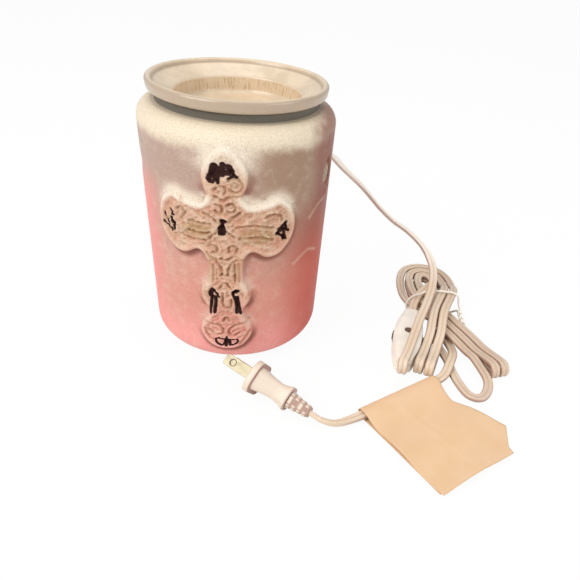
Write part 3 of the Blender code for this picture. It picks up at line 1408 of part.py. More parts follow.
def main():
    make_jar()
    make_dish()
    make_base_plate()
    make_feet()
    make_clamp()
    make_holder()
    make_centre_contact()
    make_lamp()
    make_boot()
    make_switch()
    make_plug()
    make_lead()
    hank_end, hank_heading = make_hank()
    make_tail(hank_end, hank_heading)
    make_tie()
    make_tag()


main()
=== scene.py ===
"""Electric wax warmer: the glazed jar with its raised cross, the wax dish, the switch and the tied cord.

Metres, +Z up. The origin is on the table under the middle of the jar, and the cross faces -Y.
"""

import math

import bmesh
import bpy
import numpy as np
from bpy.props import FloatProperty, FloatVectorProperty, PointerProperty
from mathutils import Matrix, Vector


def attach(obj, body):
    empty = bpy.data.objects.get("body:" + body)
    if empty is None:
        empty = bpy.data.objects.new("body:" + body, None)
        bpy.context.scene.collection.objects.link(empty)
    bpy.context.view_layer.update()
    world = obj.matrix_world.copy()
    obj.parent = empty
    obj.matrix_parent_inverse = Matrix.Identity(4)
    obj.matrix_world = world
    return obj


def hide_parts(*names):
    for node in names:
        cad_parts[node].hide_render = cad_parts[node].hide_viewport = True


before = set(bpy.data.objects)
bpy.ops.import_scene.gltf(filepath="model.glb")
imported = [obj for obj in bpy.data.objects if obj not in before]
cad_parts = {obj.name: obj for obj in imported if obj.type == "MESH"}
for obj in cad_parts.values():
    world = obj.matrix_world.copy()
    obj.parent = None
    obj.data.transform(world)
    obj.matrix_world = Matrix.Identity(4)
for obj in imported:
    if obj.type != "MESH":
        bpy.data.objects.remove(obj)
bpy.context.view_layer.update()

bl_info = {
    "name": "Electric Wax Warmer",
    "version": (1, 0, 0),
    "blender": (4, 5, 0),
    "location": "3D View > Sidebar > Warmer",
    "description": "Builds the visual model of an electric wax warmer on its CAD frame",
    "category": "Object",
}

MM = 0.001
FIT = 0.3 * MM

# Glazed jar
JAR_FOOT_Z = 1.0 * MM
JAR_SHOULDER_Z = 139.0 * MM
JAR_SHOULDER_RADIUS = 52.0 * MM
JAR_BASE_RADIUS = 47.4 * MM
JAR_TAPER = (JAR_SHOULDER_RADIUS - JAR_BASE_RADIUS) / JAR_SHOULDER_Z
JAR_WALL = 4.5 * MM
JAR_SHOULDER_ROUNDING = 8.4 * MM
JAR_FOOT_ROUNDING = 12.0 * MM
JAR_TOP_Z = 143.4 * MM
PLATE_RECESS = 3.6 * MM
PLATE_RECESS_RADIUS = 32.5 * MM
LEDGE_RADIUS = 28.0 * MM
MOUTH_RADIUS = 39.5 * MM
NECK_RADIUS = 42.4 * MM
CROSS_CENTRE_Z = 88.0 * MM
CROSS_RELIEF = 3.0
CROSS_FRONT_RADIUS = 53.6
CLOSE_COLUMNS_FROM = -60.0
CLOSE_COLUMNS_TO = 82.0
CLOSE_COLUMN_STEP = 0.6
FAR_COLUMNS = 182

# Vents and the cord's outlet, as turns round the jar from the cross
VENT_Z = 110.0 * MM
VENT_WIDTH = 11.0 * MM
VENT_HEIGHT = 15.0 * MM
VENT_TURNS = (74.0, -74.0, -118.0)
OUTLET_TURN = 138.0
OUTLET_Z = 97.0 * MM
OUTLET_RADIUS = 5.3 * MM
CUT_REACH = 9.0 * MM

# Where the jar's colours run into each other: heights, and for the sides places across the jar. The bright
# pink round the foot and the salmon down the left edge are painted reflected light; the upper right is partly
# glaze tone and partly painted shade; the right edge is painted shade that turns to a painted reflection
# towards the foot
GREY_RISE = (40 * MM, 118 * MM)
FOOT_BOUNCE_LIGHT = (40 * MM, 12 * MM)
SHOULDER_CREAM = (124.5 * MM, 132 * MM)
CROSS_CLAY = (30 * MM, 62 * MM)
CROSS_WHITE = (113 * MM, 123 * MM)
LEFT_PAINTED_REFLECTION = (-31 * MM, -47 * MM)
LEFT_FADE = (117 * MM, 88 * MM)
TAWNY_SHADED_SIDE = (-14 * MM, 34 * MM)
UPPER_HALF = (82 * MM, 108 * MM)
RIGHT_SHADE_ABOVE = (39 * MM, 48 * MM)
RIGHT_SHADE_BELOW = (20 * MM, 48 * MM)
RIGHT_SHADE_TO_REFLECTION = (105 * MM, 45 * MM)

# The band of heights with vents in it, and how deep under the glaze their unglazed walls start; those walls
# get painted shade above and painted light below
VENT_BAND_TOP = (124 * MM, 120 * MM)
VENT_BAND_FOOT = (60 * MM, 80 * MM)
BARE_DEPTH = (0.8 * MM, 1.3 * MM)

# Wax dish
DISH_RIM_RADIUS = 46.8 * MM
DISH_TOP_Z = 150.3 * MM
DISH_SEAT_Z = 143.7 * MM
DISH_FLOOR_Z = 133.9 * MM
DISH_WELL_RADIUS = 33.2 * MM
DISH_SKIRT_RADIUS = 38.8 * MM
DISH_WALL = 3.6 * MM
DISH_LEDGE_Z = 143.1 * MM
DISH_LIP = 1.7 * MM

# Where the cord's and the plug's colours change: places along X, and for the lead heights; the hank's
# darkening and its darker edges are painted shade, and the lead's pale stretch is painted light
PLUG_BEIGE = (90 * MM, 75 * MM)
HANK_PAINTED_SHADE = (128 * MM, 142 * MM)
PAINTED_EDGE_SHADE = (55 * MM, 85 * MM)
LEAD_PAINTED_LIGHT = (20 * MM, 36 * MM)

# Cord, boot, switch and plug
CORD_WIDTH = 5.6 * MM
CORD_THICKNESS = 2.8 * MM
HANK_PITCH = 6.3 * MM
HANK_LAYER = 1.85 * MM
HANK_FOLD = 4.0 * MM
HANK_FOLD_REACH = 20.0 * MM
LANE_CHANGE_START = 14.0 * MM
LANE_CHANGE_END = 6.0 * MM
LEAD_TURN_RADIUS = 4.2 * MM
LEAD_TURN_REACH = 16.0 * MM
PLUG_TWIST_START = 30.0 * MM
PLUG_TWIST_LENGTH = 24.0 * MM
BOOT_LENGTH = 12.5 * MM
BOOT_FLANGE_RADIUS = 7.0 * MM
BOOT_NOSE_RADIUS = 3.6 * MM
BOOT_RIBS = 3
SWITCH_CENTRE = Vector((106.8, -20.5, 0.2)) * MM
SWITCH_TURN = 77.7
SWITCH_LENGTH = 52.0 * MM
SWITCH_WIDTH = 17.8 * MM
SWITCH_END_WIDTH = 9.4 * MM
SWITCH_HEIGHT = 12.8 * MM
WHEEL_RADIUS = 9.8 * MM
WHEEL_THICKNESS = 4.4 * MM
WHEEL_TEETH = 20
PIN_RADIUS = 1.4 * MM
PIN_HEAD_RADIUS = 2.5 * MM
PIN_SEAT_Z = SWITCH_HEIGHT - 0.8 * MM
PIN_END_Z = 1.8 * MM
SCREW_OFFSET = 18.5 * MM
SCREW_RADIUS = 1.1 * MM
SCREW_HEAD_RADIUS = 2.3 * MM
PLUG_FACE = Vector((17.8, -71.8, 13.1)) * MM
PLUG_BACKWARDS = Vector((0.854, -0.472, -0.220))
PLUG_ACROSS = Vector((-0.182, -0.666, 0.723))
PLUG_LENGTH = 23.0 * MM
PLUG_WIDTH = 23.9 * MM
PLUG_HEIGHT = 17.5 * MM
WAIST_WIDTH = 14.6 * MM
WAIST_HEIGHT = 9.8 * MM
BLADE_WIDTH = 6.35 * MM
BLADE_THICKNESS = 1.5 * MM
BLADE_LENGTH = 16.7 * MM
BLADE_SPACING = 12.7 * MM
BLADE_TIP_ROUNDING = 1.7 * MM
BLADE_HOLE_RADIUS = 1.6 * MM
BLADE_RING_RADIUS = 2.05 * MM
BLADE_HOLE_FROM_TIP = 5.0 * MM
RELIEF_LENGTH = 12.4 * MM
RELIEF_RIBS = 4
RELIEF_ROOT = 7.4 * MM
RELIEF_NOTCHES = 10

# Tag and twist tie
TAG_SHEET = 0.3 * MM
TAG_CORNER = Vector((76.0, -86.0, 0.0)) * MM
TAG_ALONG = Vector((0.819, 0.574, 0.0))
TAG_OUT = Vector((0.574, -0.819, 0.0))
TIE_RADIUS = 0.7 * MM
TIE_TURNS = 1.6

# Camera and lights
CAMERA_PLACE = Vector((0.0402, -0.3179, 0.2255))
CAMERA_RIGHT = Vector((0.9954, -0.0200, 0.0935))
CAMERA_UP = Vector((-0.0695, 0.5194, 0.8517))
CAMERA_BACK = Vector((-0.0656, -0.8543, 0.5156))
CAMERA_LENS = 37.24
CAMERA_SHIFT = (-53 / 580, -11 / 580)
LIGHT_TARGET = Vector((0.03, -0.01, 0.06))


def colour(name, text, value):
    return FloatVectorProperty(
        name=name, description=text, default=value, size=3, subtype="COLOR", min=0.0, max=1.0
    )


def length(name, text, value):
    return FloatProperty(
        name=name, description=text, default=value, min=0.0, subtype="DISTANCE", unit="LENGTH"
    )


def amount(name, text, value):
    return FloatProperty(name=name, description=text, default=value, min=0.0)


class JarSettings(bpy.types.PropertyGroup):
    # Cream at the shoulder, and on the raised lines partly a painted highlight
    cream: colour("Cream", "Glaze at the shoulder and on the raised lines", (0.92, 0.84, 0.66))
    # White: brushed paint along the cross's upper edges, and the colour of the painted highlight there
    white: colour("White", "Paint brushed along the upper edges of the cross", (0.93, 0.85, 0.72))
    grey: colour("Greyish beige", "Glaze on the upper part of the jar", (0.50, 0.36, 0.30))
    pink: colour("Pink", "Glaze on the lower part of the jar", (0.76, 0.34, 0.275))
    # Salmon: a painted reflection of reddish light down the jar's left edge
    salmon: colour("Salmon", "Glaze near the foot and down the sides", (0.94, 0.27, 0.25))
    # Upper right: partly the glaze's own tone, partly painted shade on the side away from the key light
    tawny_and_painted_shade: colour("Tawny", "Glaze on the upper right of the jar", (0.38, 0.25, 0.17))
    # Painted bounce light: a brighter pink round the foot that stands in for light thrown up from below
    painted_bounce_pink: colour("Blush", "Glaze round the foot", (1.0, 0.42, 0.40))
    # Reddish brown: the painted shadow under the cross's arms and the painted shade high on the jar's right;
    # also the crackle lines' own colour
    shade: colour("Red brown", "Glaze in the cross's shadow and high on the right", (0.27, 0.08, 0.05))
    clay: colour("Clay", "Glaze on the face of the cross", (0.71, 0.355, 0.235))
    # Painted reflection of reddish light low on the jar's right edge
    red: colour("Red", "Glaze low on the right side", (0.60, 0.085, 0.05))
    gold: colour("Tan", "Paint on the arms and in the scrolls of the cross", (0.46, 0.28, 0.12))
    wash: colour("Dark wash", "Paint left in the hollows of the cross", (0.030, 0.006, 0.004))
    # Neck: dark paint on the neck, with painted shadow of the dish's overhanging rim
    neck: colour("Neck", "Paint on the neck under the dish", (0.10, 0.090, 0.074))
    crackle: length("Crackle size", "Size of the glaze's cracked cells", 1.5 * MM)
    sand: length("Sand size", "Size of the grains under the glaze", 0.5 * MM)


class DishSettings(bpy.types.PropertyGroup):
    glaze: colour("Glaze", "The dish's beige glaze", (0.62, 0.50, 0.355))
    well: colour("Well", "The browner glaze in the well", (0.68, 0.51, 0.33))
    wobble: length("Wobble", "How far the rim strays from a true circle", 0.15 * MM)


class CordSettings(bpy.types.PropertyGroup):
    vinyl: colour("Vinyl", "The cord's cream vinyl", (0.76, 0.62, 0.48))
    plastic: colour("Plastic", "The plug's and the switch's cream plastic", (0.93, 0.88, 0.78))
    brown: colour("Brown", "The wheel's and the pin's brown plastic", (0.13, 0.07, 0.045))
    paper: colour("Paper", "The tag's paper", (0.76, 0.52, 0.32))
    groove: length("Groove", "Depth of the groove between the cord's two wires", 0.45 * MM)


class StageSettings(bpy.types.PropertyGroup):
    key: amount("Key light", "Power of the large light at the upper left, in watts", 6.3)
    fill: amount("Fill light", "Power of the light at the right, in watts", 2.2)
    top: amount("Top light", "Power of the light overhead, in watts", 1.8)
    ambient: amount("Room light", "Strength of the even light from all round", 0.60)
    floor_glow: amount("Floor glow", "Share of plain white in the floor that the camera sees", 0.94)


class WarmerSettings(bpy.types.PropertyGroup):
    jar: PointerProperty(name="Jar", description="Colours and sizes of the jar", type=JarSettings)
    dish: PointerProperty(name="Dish", description="Colours of the dish", type=DishSettings)
    cord: PointerProperty(name="Cord", description="Colours of the cord and its pieces", type=CordSettings)
    stage: PointerProperty(name="Stage", description="Lights and floor", type=StageSettings)


def settings():
    return bpy.context.scene.wax_warmer


class Signal:
    """A shader socket that takes part in Python sums."""

    def __init__(self, graph, socket):
        self.graph = graph
        self.socket = socket

    def __add__(self, other):
        return self.graph.sum("ADD", self, other)

    def __radd__(self, other):
        return self.graph.sum("ADD", other, self)

    def __sub__(self, other):
        return self.graph.sum("SUBTRACT", self, other)

    def __rsub__(self, other):
        return self.graph.sum("SUBTRACT", other, self)

    def __mul__(self, other):
        return self.graph.sum("MULTIPLY", self, other)

    def __rmul__(self, other):
        return self.graph.sum("MULTIPLY", other, self)

    def __pow__(self, other):
        return self.graph.sum("POWER", self, other)


class Graph:
    """A material's node tree, written as expressions."""

    def __init__(self, tree):
        self.tree = tree

    def node(self, kind, options=None, links=None, output=0):
        made = self.tree.nodes.new("ShaderNode" + kind)
        for key, value in (options or {}).items():
            setattr(made, key, value)
        for key, value in (links or {}).items():
            self.feed(made.inputs[key], value)
        return Signal(self, made.outputs[output])

    def feed(self, socket, value):
        if isinstance(value, Signal):
            self.tree.links.new(value.socket, socket)
        elif socket.type == "RGBA":
            socket.default_value = (*value[:3], 1.0)
        else:
            socket.default_value = value

    def sum(self, operation, one, two):
        return self.node("Math", {"operation": operation}, {0: one, 1: two})

    def mix(self, share, one, two, blend="MIX"):
        """Colour one at share 0, two at share 1."""
        options = {"data_type": "RGBA", "blend_type": blend, "clamp_factor": True}
        return self.node("Mix", options, {0: share, 6: one, 7: two}, 2)

    def vector(self, operation, one, two):
        return self.node("VectorMath", {"operation": operation}, {0: one, 1: two})

    def step(self, value, low, high):
        """0 below low and 1 above high, with a smooth rise; low may be the larger one."""
        options = {"interpolation_type": "SMOOTHSTEP", "clamp": True}
        return self.node("MapRange", options, {"Value": value, "From Min": low, "From Max": high})

    def ragged(self, value, cloud, reach):
        """A value that a noise moves up and down, so that a step in it gets a wandering border."""
        return value + (cloud - 0.5) * reach

    def place(self):
        """The point on the surface, which stays with its piece."""
        return self.node("TexCoord", output="Object")

    def axis(self, vector, name):
        return self.node("SeparateXYZ", links={"Vector": vector}, output=name)

    def stored(self, name):
        return self.node("Attribute", {"attribute_name": name}, output="Fac")

    def noise(self, vector, size, detail=3.0, roughness=0.5):
        """Cloudy values round 0.5 whose patches are about size across, in metres."""
        links = {"Vector": vector, "Scale": 1.0 / size, "Detail": detail, "Roughness": roughness}
        return self.node("TexNoise", {"noise_dimensions": "3D"}, links)

    def cells(self, vector, size, feature="DISTANCE_TO_EDGE"):
        links = {"Vector": vector, "Scale": 1.0 / size}
        return self.node("TexVoronoi", {"feature": feature}, links, "Distance")

    def stretched(self, vector, x, y, z):
        return self.vector("MULTIPLY", vector, (x, y, z))

    def bump(self, height, distance):
        return self.node("Bump", links={"Height": height, "Distance": distance})


class Finish(Graph):
    """A new material and its Principled shader."""

    def __init__(self, name):
        self.material = bpy.data.materials.new("visual_" + name)
        self.material.use_nodes = True
        super().__init__(self.material.node_tree)
        self.shader = self.tree.nodes["Principled BSDF"]

    def surface(self, **values):
        for key, value in values.items():
            self.feed(self.shader.inputs[key.replace("_", " ")], value)
        return self.material


def glaze_finish():
    """Crackled glaze that runs from cream to salmon, with paint left in some hollows of the cross, and
    painted light and shade: reflections on the sides and foot, shade on the right, highlights on the cross's
    upper edges and a shadow under its arms.
    """
    look = settings().jar
    g = Finish("crackle_glaze")
    place = g.place()
    x, y, z = (g.axis(place, name) for name in "XYZ")
    cloud = g.noise(place, 22 * MM, 4.0, 0.6)
    patch = g.noise(place, 6 * MM, 4.0, 0.6)
    sand = g.noise(place, look.sand, 3.0, 0.7)
    grit = g.noise(place, look.sand * 0.35, 2.0, 0.6)
    warp = g.node("TexNoise", links={"Vector": place, "Scale": 1.0 / (3 * MM), "Detail": 3.0}, output="Color")
    shifted = g.vector("ADD", place, g.vector("MULTIPLY", warp, (1.2 * MM, 1.2 * MM, 1.2 * MM)))
    cracks = 1.0 - g.step(g.cells(shifted, look.crackle), 0.0, 0.09)
    pits = 1.0 - g.step(g.cells(place, 3.1 * MM, "F1"), 0.05, 0.16)
    cross = g.stored("cross")
    wash = g.stored("wash")
    crest = g.stored("crest")
    tan = g.stored("tan")
    halo = g.stored("halo")
    under = g.stored("under")
    inside = g.stored("inside")
    up = g.step(g.ragged(z, cloud, 40 * MM), *GREY_RISE)
    foot = g.step(g.ragged(z, cloud, 12 * MM), *FOOT_BOUNCE_LIGHT)
    high = g.step(g.ragged(z, patch, 6 * MM), *SHOULDER_CREAM)
    # Painted reflection: salmon down the left edge, fading out higher up
    left = g.step(g.ragged(x, patch, 8 * MM), *LEFT_PAINTED_REFLECTION) * g.step(z, *LEFT_FADE)
    # Painted shade down the right edge, narrower higher up, turning to a painted reflection towards the foot
    aside = g.ragged(g.ragged(x, patch, 8 * MM), cloud, 8 * MM)
    upper = g.step(z, *UPPER_HALF)
    right = upper * g.step(aside, *RIGHT_SHADE_ABOVE) + (1.0 - upper) * g.step(aside, *RIGHT_SHADE_BELOW)
    body = g.mix(up, look.pink, look.grey)
    # Upper right: partly glaze tone, partly painted shade
    body = g.mix(g.step(x, *TAWNY_SHADED_SIDE) * up * 0.95, body, look.tawny_and_painted_shade)
    # Painted bounce light: brighter pink round the foot
    body = g.mix(foot * 0.95, body, look.painted_bounce_pink)
    body = g.mix(high * 0.9, body, look.cream)
    body = g.mix(g.step(patch, 0.46, 0.72) * 0.18, body, look.cream)
    body = g.mix(left * 0.85, body, look.salmon)
    # Painted shade high on the right edge, painted reflection low on it
    painted_right_shade_and_reflection = g.mix(g.step(z, *RIGHT_SHADE_TO_REFLECTION), look.shade, look.red)
    body = g.mix(right * (0.96 - 0.15 * high), body, painted_right_shade_and_reflection)
    face = g.mix(g.step(patch, 0.35, 0.65) * 0.35, look.clay, look.cream)
    face = g.mix(g.step(z, *CROSS_WHITE) * 0.75, face, look.white)
    body = g.mix(cross * g.step(z, *CROSS_CLAY) * 0.8, body, face)
    body = g.mix(tan * g.step(patch, 0.20, 0.50) * 0.8, body, look.gold)
    # Cream on the raised lines, partly a painted highlight
    body = g.mix(crest * g.step(sand, 0.30, 0.55) * 0.55, body, look.cream)
    # White brush paint along the upper edges of the cross, partly a painted highlight
    body = g.mix(halo * g.step(patch + sand * 0.3, 0.40, 0.62), body, look.white)
    # Painted shadow: reddish brown on the wall below the arms of the cross
    body = g.mix(under * 0.9, body, look.shade)
    grains = g.mix(g.step(sand, 0.40, 0.66), (0.80, 0.72, 0.66), (1.0, 1.0, 1.0))
    body = g.mix(0.8, body, grains, "MULTIPLY")
    body = g.mix(g.step(grit, 0.62, 0.74) * 0.18, body, look.cream)
    body = g.mix(cracks * 0.14, body, look.shade)
    # Dark neck under the dish: partly dark paint, partly painted shadow of the dish's rim
    neck = g.step(z, JAR_SHOULDER_Z - 0.3 * MM, JAR_SHOULDER_Z + 0.5 * MM)
    body = g.mix(neck * 0.93, body, look.neck)
    body = g.mix(g.step(wash + (patch - 0.5) * 0.5 * wash, 0.25, 0.60), body, look.wash)
    depth = JAR_BASE_RADIUS + z * JAR_TAPER - (x * x + y * y) ** 0.5
    pierced = g.step(depth, *BARE_DEPTH) * g.step(z, *VENT_BAND_TOP) * g.step(z, *VENT_BAND_FOOT)
    # Unglazed vent walls: painted shade on the upper wall, painted light on the lower lip
    bare_wall_lit_and_shaded = g.mix(g.step(z, VENT_Z + 3.5 * MM, VENT_Z - 1.5 * MM), (0.30, 0.17, 0.10), (0.97, 0.80, 0.62))
    body = g.mix(pierced, body, bare_wall_lit_and_shaded)
    body = g.mix(inside, body, (0.36, 0.22, 0.15))
    height = sand * 0.5 + grit * 0.35 - cracks * 0.25 - pits * 0.4 + patch * 0.8
    rough = 0.42 + (sand - 0.5) * 0.30 + wash * 0.45 + inside * 0.3 + neck * 0.2
    return g.surface(
        Base_Color=body,
        Roughness=rough,
        Coat_Weight=0.10 * (1.0 - wash),
        Coat_Roughness=0.35,
        Specular_IOR_Level=0.3,
        Normal=g.bump(height, 0.20 * MM),
    )


def dish_finish():
    """Smooth beige glaze, browner and finely streaked in the well."""
    look = settings().dish
    g = Finish("dish_glaze")
    place = g.place()
    z = g.axis(place, "Z")
    cloud = g.noise(place, 14 * MM, 4.0, 0.6)
    speck = g.noise(place, 1.1 * MM, 2.0, 0.5)
    streak = g.noise(g.stretched(place, 1.0, 1.0, 0.06), 0.9 * MM, 3.0, 0.6)
    wall = g.stored("wall")
    floor = g.stored("floor")
    rim = g.stored("rim")
    body = g.mix(g.step(cloud, 0.35, 0.65), look.glaze, (0.73, 0.59, 0.43))
    body = g.mix(rim * 0.8, body, (0.40, 0.30, 0.22))
    # Dark lines round the lip and the well's brink, and a painted shade line where the dish sits on the jar
    body = g.mix(g.stored("line") * 0.55, body, (0.24, 0.16, 0.11))
    body = g.mix(wall * (0.35 + 0.5 * g.step(streak, 0.35, 0.65)), body, look.well)
    body = g.mix(wall * g.step(streak, 0.50, 0.66) * 0.55, body, (0.36, 0.24, 0.14))
    body = g.mix(floor * g.step(cloud, 0.3, 0.7) * 0.6, body, look.well)
    edge = g.step(z, DISH_LEDGE_Z + 0.5 * MM, DISH_LEDGE_Z - 0.4 * MM)
    edge = edge * g.step(z, DISH_LEDGE_Z - 1.6 * MM, DISH_LEDGE_Z - 0.6 * MM)
    body = g.mix(edge * 0.4, body, (0.86, 0.72, 0.55))
    body = g.mix(g.step(speck, 0.735, 0.79) * 0.8, body, (0.24, 0.14, 0.08))
    hair = 1.0 - g.step(g.cells(place, 2.4 * MM), 0.0, 0.05)
    body = g.mix(hair * 0.12, body, (0.36, 0.22, 0.13))
    height = cloud * 0.9 + streak * wall * 0.35 - hair * 0.1
    rough = 0.22 + (cloud - 0.5) * 0.18 + wall * 0.12
    return g.surface(
        Base_Color=body,
        Roughness=rough,
        Coat_Weight=0.3,
        Coat_Roughness=0.15,
        Normal=g.bump(height, 0.12 * MM),
    )


def plastic_finish(name, tone, rough=0.38, grain=0.5, dirt=0.25):
    """Moulded plastic with a fine grain, slight wear, and painted shade along stored edges."""
    g = Finish(name)
    place = g.place()
    cloud = g.noise(place, 9 * MM, 3.0, 0.6)
    fine = g.noise(place, 0.35 * MM, 2.0, 0.6)
    speck = g.noise(place, 0.9 * MM, 2.0, 0.5)
    darker = tuple(v * 0.80 for v in tone)
    body = g.mix(g.step(cloud, 0.30, 0.70) * dirt * 2, tone, darker)
    body = g.mix(g.step(speck, 0.66, 0.80) * 0.35, body, tuple(v * 0.62 for v in tone))
    beige = (tone[0] * 0.80, tone[1] * 0.70, tone[2] * 0.64)
    body = g.mix(g.step(g.axis(place, "X"), *PLUG_BEIGE) * 0.9, body, beige)
    # Painted shade: dark reddish brown where an edge is stored
    body = g.mix(g.stored("edge") * 0.95, body, (tone[0] * 0.30, tone[1] * 0.12, tone[2] * 0.10))
    height = fine * grain + cloud * 0.6
    return g.surface(
        Base_Color=body,
        Roughness=rough + (cloud - 0.5) * 0.16 + (fine - 0.5) * 0.08,
        Normal=g.bump(height, 0.06 * MM),
    )


def vinyl_finish():
    """Soft cord vinyl with a slight yellowing and fine drawn lines."""
    tone = settings().cord.vinyl
    g = Finish("cord_vinyl")
    place = g.place()
    x, z = (g.axis(place, name) for name in "XZ")
    cloud = g.noise(place, 16 * MM, 3.0, 0.6)
    fine = g.noise(place, 0.6 * MM, 3.0, 0.6)
    yellow = (tone[0] * 0.97, tone[1] * 0.90, tone[2] * 0.76)
    body = g.mix(g.step(cloud, 0.38, 0.68) * 0.5, tone, yellow)
    # Painted light: the lead paler where it rises through the air
    body = g.mix(g.step(z, *LEAD_PAINTED_LIGHT) * 0.9, body, (1.0, 0.92, 0.82))
    body = g.mix(g.step(fine, 0.62, 0.78) * 0.18, body, tuple(v * 0.7 for v in tone))
    # Painted shade on the far right of the hank, where its laps lie in shadow
    body = g.mix(g.step(x, *HANK_PAINTED_SHADE) * 0.45, body, (0.52, 0.37, 0.28))
    # Painted shade along the cord's narrow sides and in its groove, weaker towards the plug
    body = g.mix(g.stored("edge") * (0.15 + 0.6 * g.step(x, *PAINTED_EDGE_SHADE)), body, (0.36, 0.19, 0.145))
    return g.surface(
        Base_Color=body,
        Roughness=0.36 + (cloud - 0.5) * 0.2,
        Coat_Weight=0.1,
        Normal=g.bump(fine * 0.4 + cloud * 0.8, 0.05 * MM),
    )


def paper_finish():
    """Uncoated tag paper with fibres and a soft crease."""
    tone = settings().cord.paper
    g = Finish("tag_paper")
    place = g.place()
    fibre = g.noise(g.stretched(place, 1.0, 0.35, 1.0), 0.5 * MM, 4.0, 0.7)
    cloud = g.noise(place, 12 * MM, 3.0, 0.5)
    body = g.mix(g.step(cloud, 0.35, 0.7) * 0.4, tone, (tone[0] * 0.95, tone[1] * 0.88, tone[2] * 0.74))
    body = g.mix(g.step(fibre, 0.60, 0.75) * 0.25, body, tuple(v * 0.78 for v in tone))
    rough = 0.72 + (fibre - 0.5) * 0.2
    return g.surface(Base_Color=body, Roughness=rough, Normal=g.bump(fibre * 0.6 + cloud, 0.08 * MM))


def metal_finish(name, tone, rough, scratch=0.5, tarnish=(0.30, 0.24, 0.18)):
    """Drawn or pressed metal with fine scratches and a little tarnish."""
    g = Finish(name)
    place = g.place()
    lines = g.noise(g.stretched(place, 1.0, 1.0, 0.08), 0.4 * MM, 3.0, 0.7)
    cloud = g.noise(place, 5 * MM, 4.0, 0.6)
    body = g.mix(g.step(cloud, 0.52, 0.78) * 0.35, tone, tarnish)
    # Painted shade where an edge is stored: the ring round each blade's hole
    body = g.mix(g.stored("edge") * 0.85, body, (0.16, 0.10, 0.07))
    return g.surface(
        Base_Color=body,
        Metallic=1.0,
        Roughness=rough + (lines - 0.5) * 0.25 + (cloud - 0.5) * 0.2,
        Normal=g.bump(lines * scratch + cloud * 0.3, 0.04 * MM),
    )


def coated_finish(name, tone, rough, size=0.8 * MM):
    """Painted steel, rubber or phenolic with an orange-peel surface."""
    g = Finish(name)
    place = g.place()
    peel = g.noise(place, size, 3.0, 0.5)
    cloud = g.noise(place, 7 * MM, 3.0, 0.6)
    body = g.mix(g.step(cloud, 0.4, 0.7) * 0.6, tone, tuple(min(1.0, v * 1.7 + 0.01) for v in tone))
    rough = rough + (peel - 0.5) * 0.2
    return g.surface(Base_Color=body, Roughness=rough, Normal=g.bump(peel * 0.7 + cloud * 0.4, 0.08 * MM))


def glass_finish():
    g = Finish("clear_glass")
    cloud = g.noise(g.place(), 4 * MM, 2.0, 0.5)
    return g.surface(
        Base_Color=(0.97, 0.98, 0.98),
        Transmission_Weight=1.0,
        IOR=1.47,
        Roughness=0.03 + cloud * 0.03,
        Normal=g.bump(cloud, 0.02 * MM),
    )


FINISH_MAKERS = {
    "crackle_glaze": glaze_finish,
    "dish_glaze": dish_finish,
    "cord_vinyl": vinyl_finish,
    "tag_paper": paper_finish,
    "clear_glass": glass_finish,
    "cream_plastic": lambda: plastic_finish("cream_plastic", tuple(settings().cord.plastic)),
    "brown_plastic": lambda: plastic_finish("brown_plastic", tuple(settings().cord.brown), 0.42, 0.7),
    "black_steel": lambda: coated_finish("black_steel", (0.035, 0.035, 0.037), 0.45),
    "rubber": lambda: coated_finish("rubber", (0.03, 0.03, 0.03), 0.72, 0.4 * MM),
    "phenolic": lambda: coated_finish("phenolic", (0.05, 0.042, 0.036), 0.38, 1.4 * MM),
    "zinc_steel": lambda: metal_finish("zinc_steel", (0.62, 0.63, 0.62), 0.38, 0.5, (0.42, 0.40, 0.34)),
    "brass": lambda: metal_finish("brass", (0.76, 0.56, 0.26), 0.3, 0.4, (0.36, 0.22, 0.09)),
    "nickel": lambda: metal_finish("nickel", (0.60, 0.54, 0.39), 0.62, 0.5, (0.34, 0.27, 0.17)),
}
FINISHES = {}


def finish_for(slot):
    """The material of a slot, made when it is first asked for."""
    if slot not in FINISHES:
        FINISHES[slot] = FINISH_MAKERS[slot]()
    return FINISHES[slot]


def placed(name, data):
    """A new object in the scene."""
    made = bpy.data.objects.new(name, data)
    bpy.context.scene.collection.objects.link(made)
    return made


def piece(name, data, body, slot, replaces, sharp=None):
    """A new visual piece that rides on a body and stands for CAD nodes."""
    made = placed(name, data)
    data.materials.clear()
    data.materials.append(finish_for(slot))
    data.shade_smooth()
    if sharp is not None:
        data.set_sharp_from_angle(angle=math.radians(sharp))
    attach(made, body)
    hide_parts(*replaces)
    return made


def dress(slot, names, bevel=0.0):
    """Gives CAD nodes their finish and, where asked, softened edges."""
    for name in names:
        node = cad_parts[name]
        node.data.materials.clear()
        node.data.materials.append(finish_for(slot))
        if bevel:
            soft = node.modifiers.new("Edge", "BEVEL")
            soft.width = bevel
            soft.segments = 2
            soft.limit_method = "ANGLE"
            soft.angle_limit = math.radians(40)
            soft.use_clamp_overlap = True


def mesh_from(name, vertices, faces, matrix=None, **values):
    """A mesh with outward normals and one stored number per vertex for each named value."""
    data = bpy.data.meshes.new(name)
    data.from_pydata([tuple(v) for v in np.asarray(vertices).tolist()], [], faces)
    for key, numbers in values.items():
        data.attributes.new(key, "FLOAT", "POINT").data.foreach_set("value", np.asarray(numbers, np.float32))
    shape = bmesh.new()
    shape.from_mesh(data)
    bmesh.ops.recalc_face_normals(shape, faces=shape.faces)
    shape.to_mesh(data)
    shape.free()
    if matrix is not None:
        data.transform(matrix)
    return data


def grid_faces(rows, columns, close_rows=False, close_columns=True):
    faces = []
    for i in range(rows if close_rows else rows - 1):
        low = i * columns
        high = (i + 1) % rows * columns
        for j in range(columns if close_columns else columns - 1):
            k = (j + 1) % columns
            faces.append((low + j, low + k, high + k, high + j))
    return faces


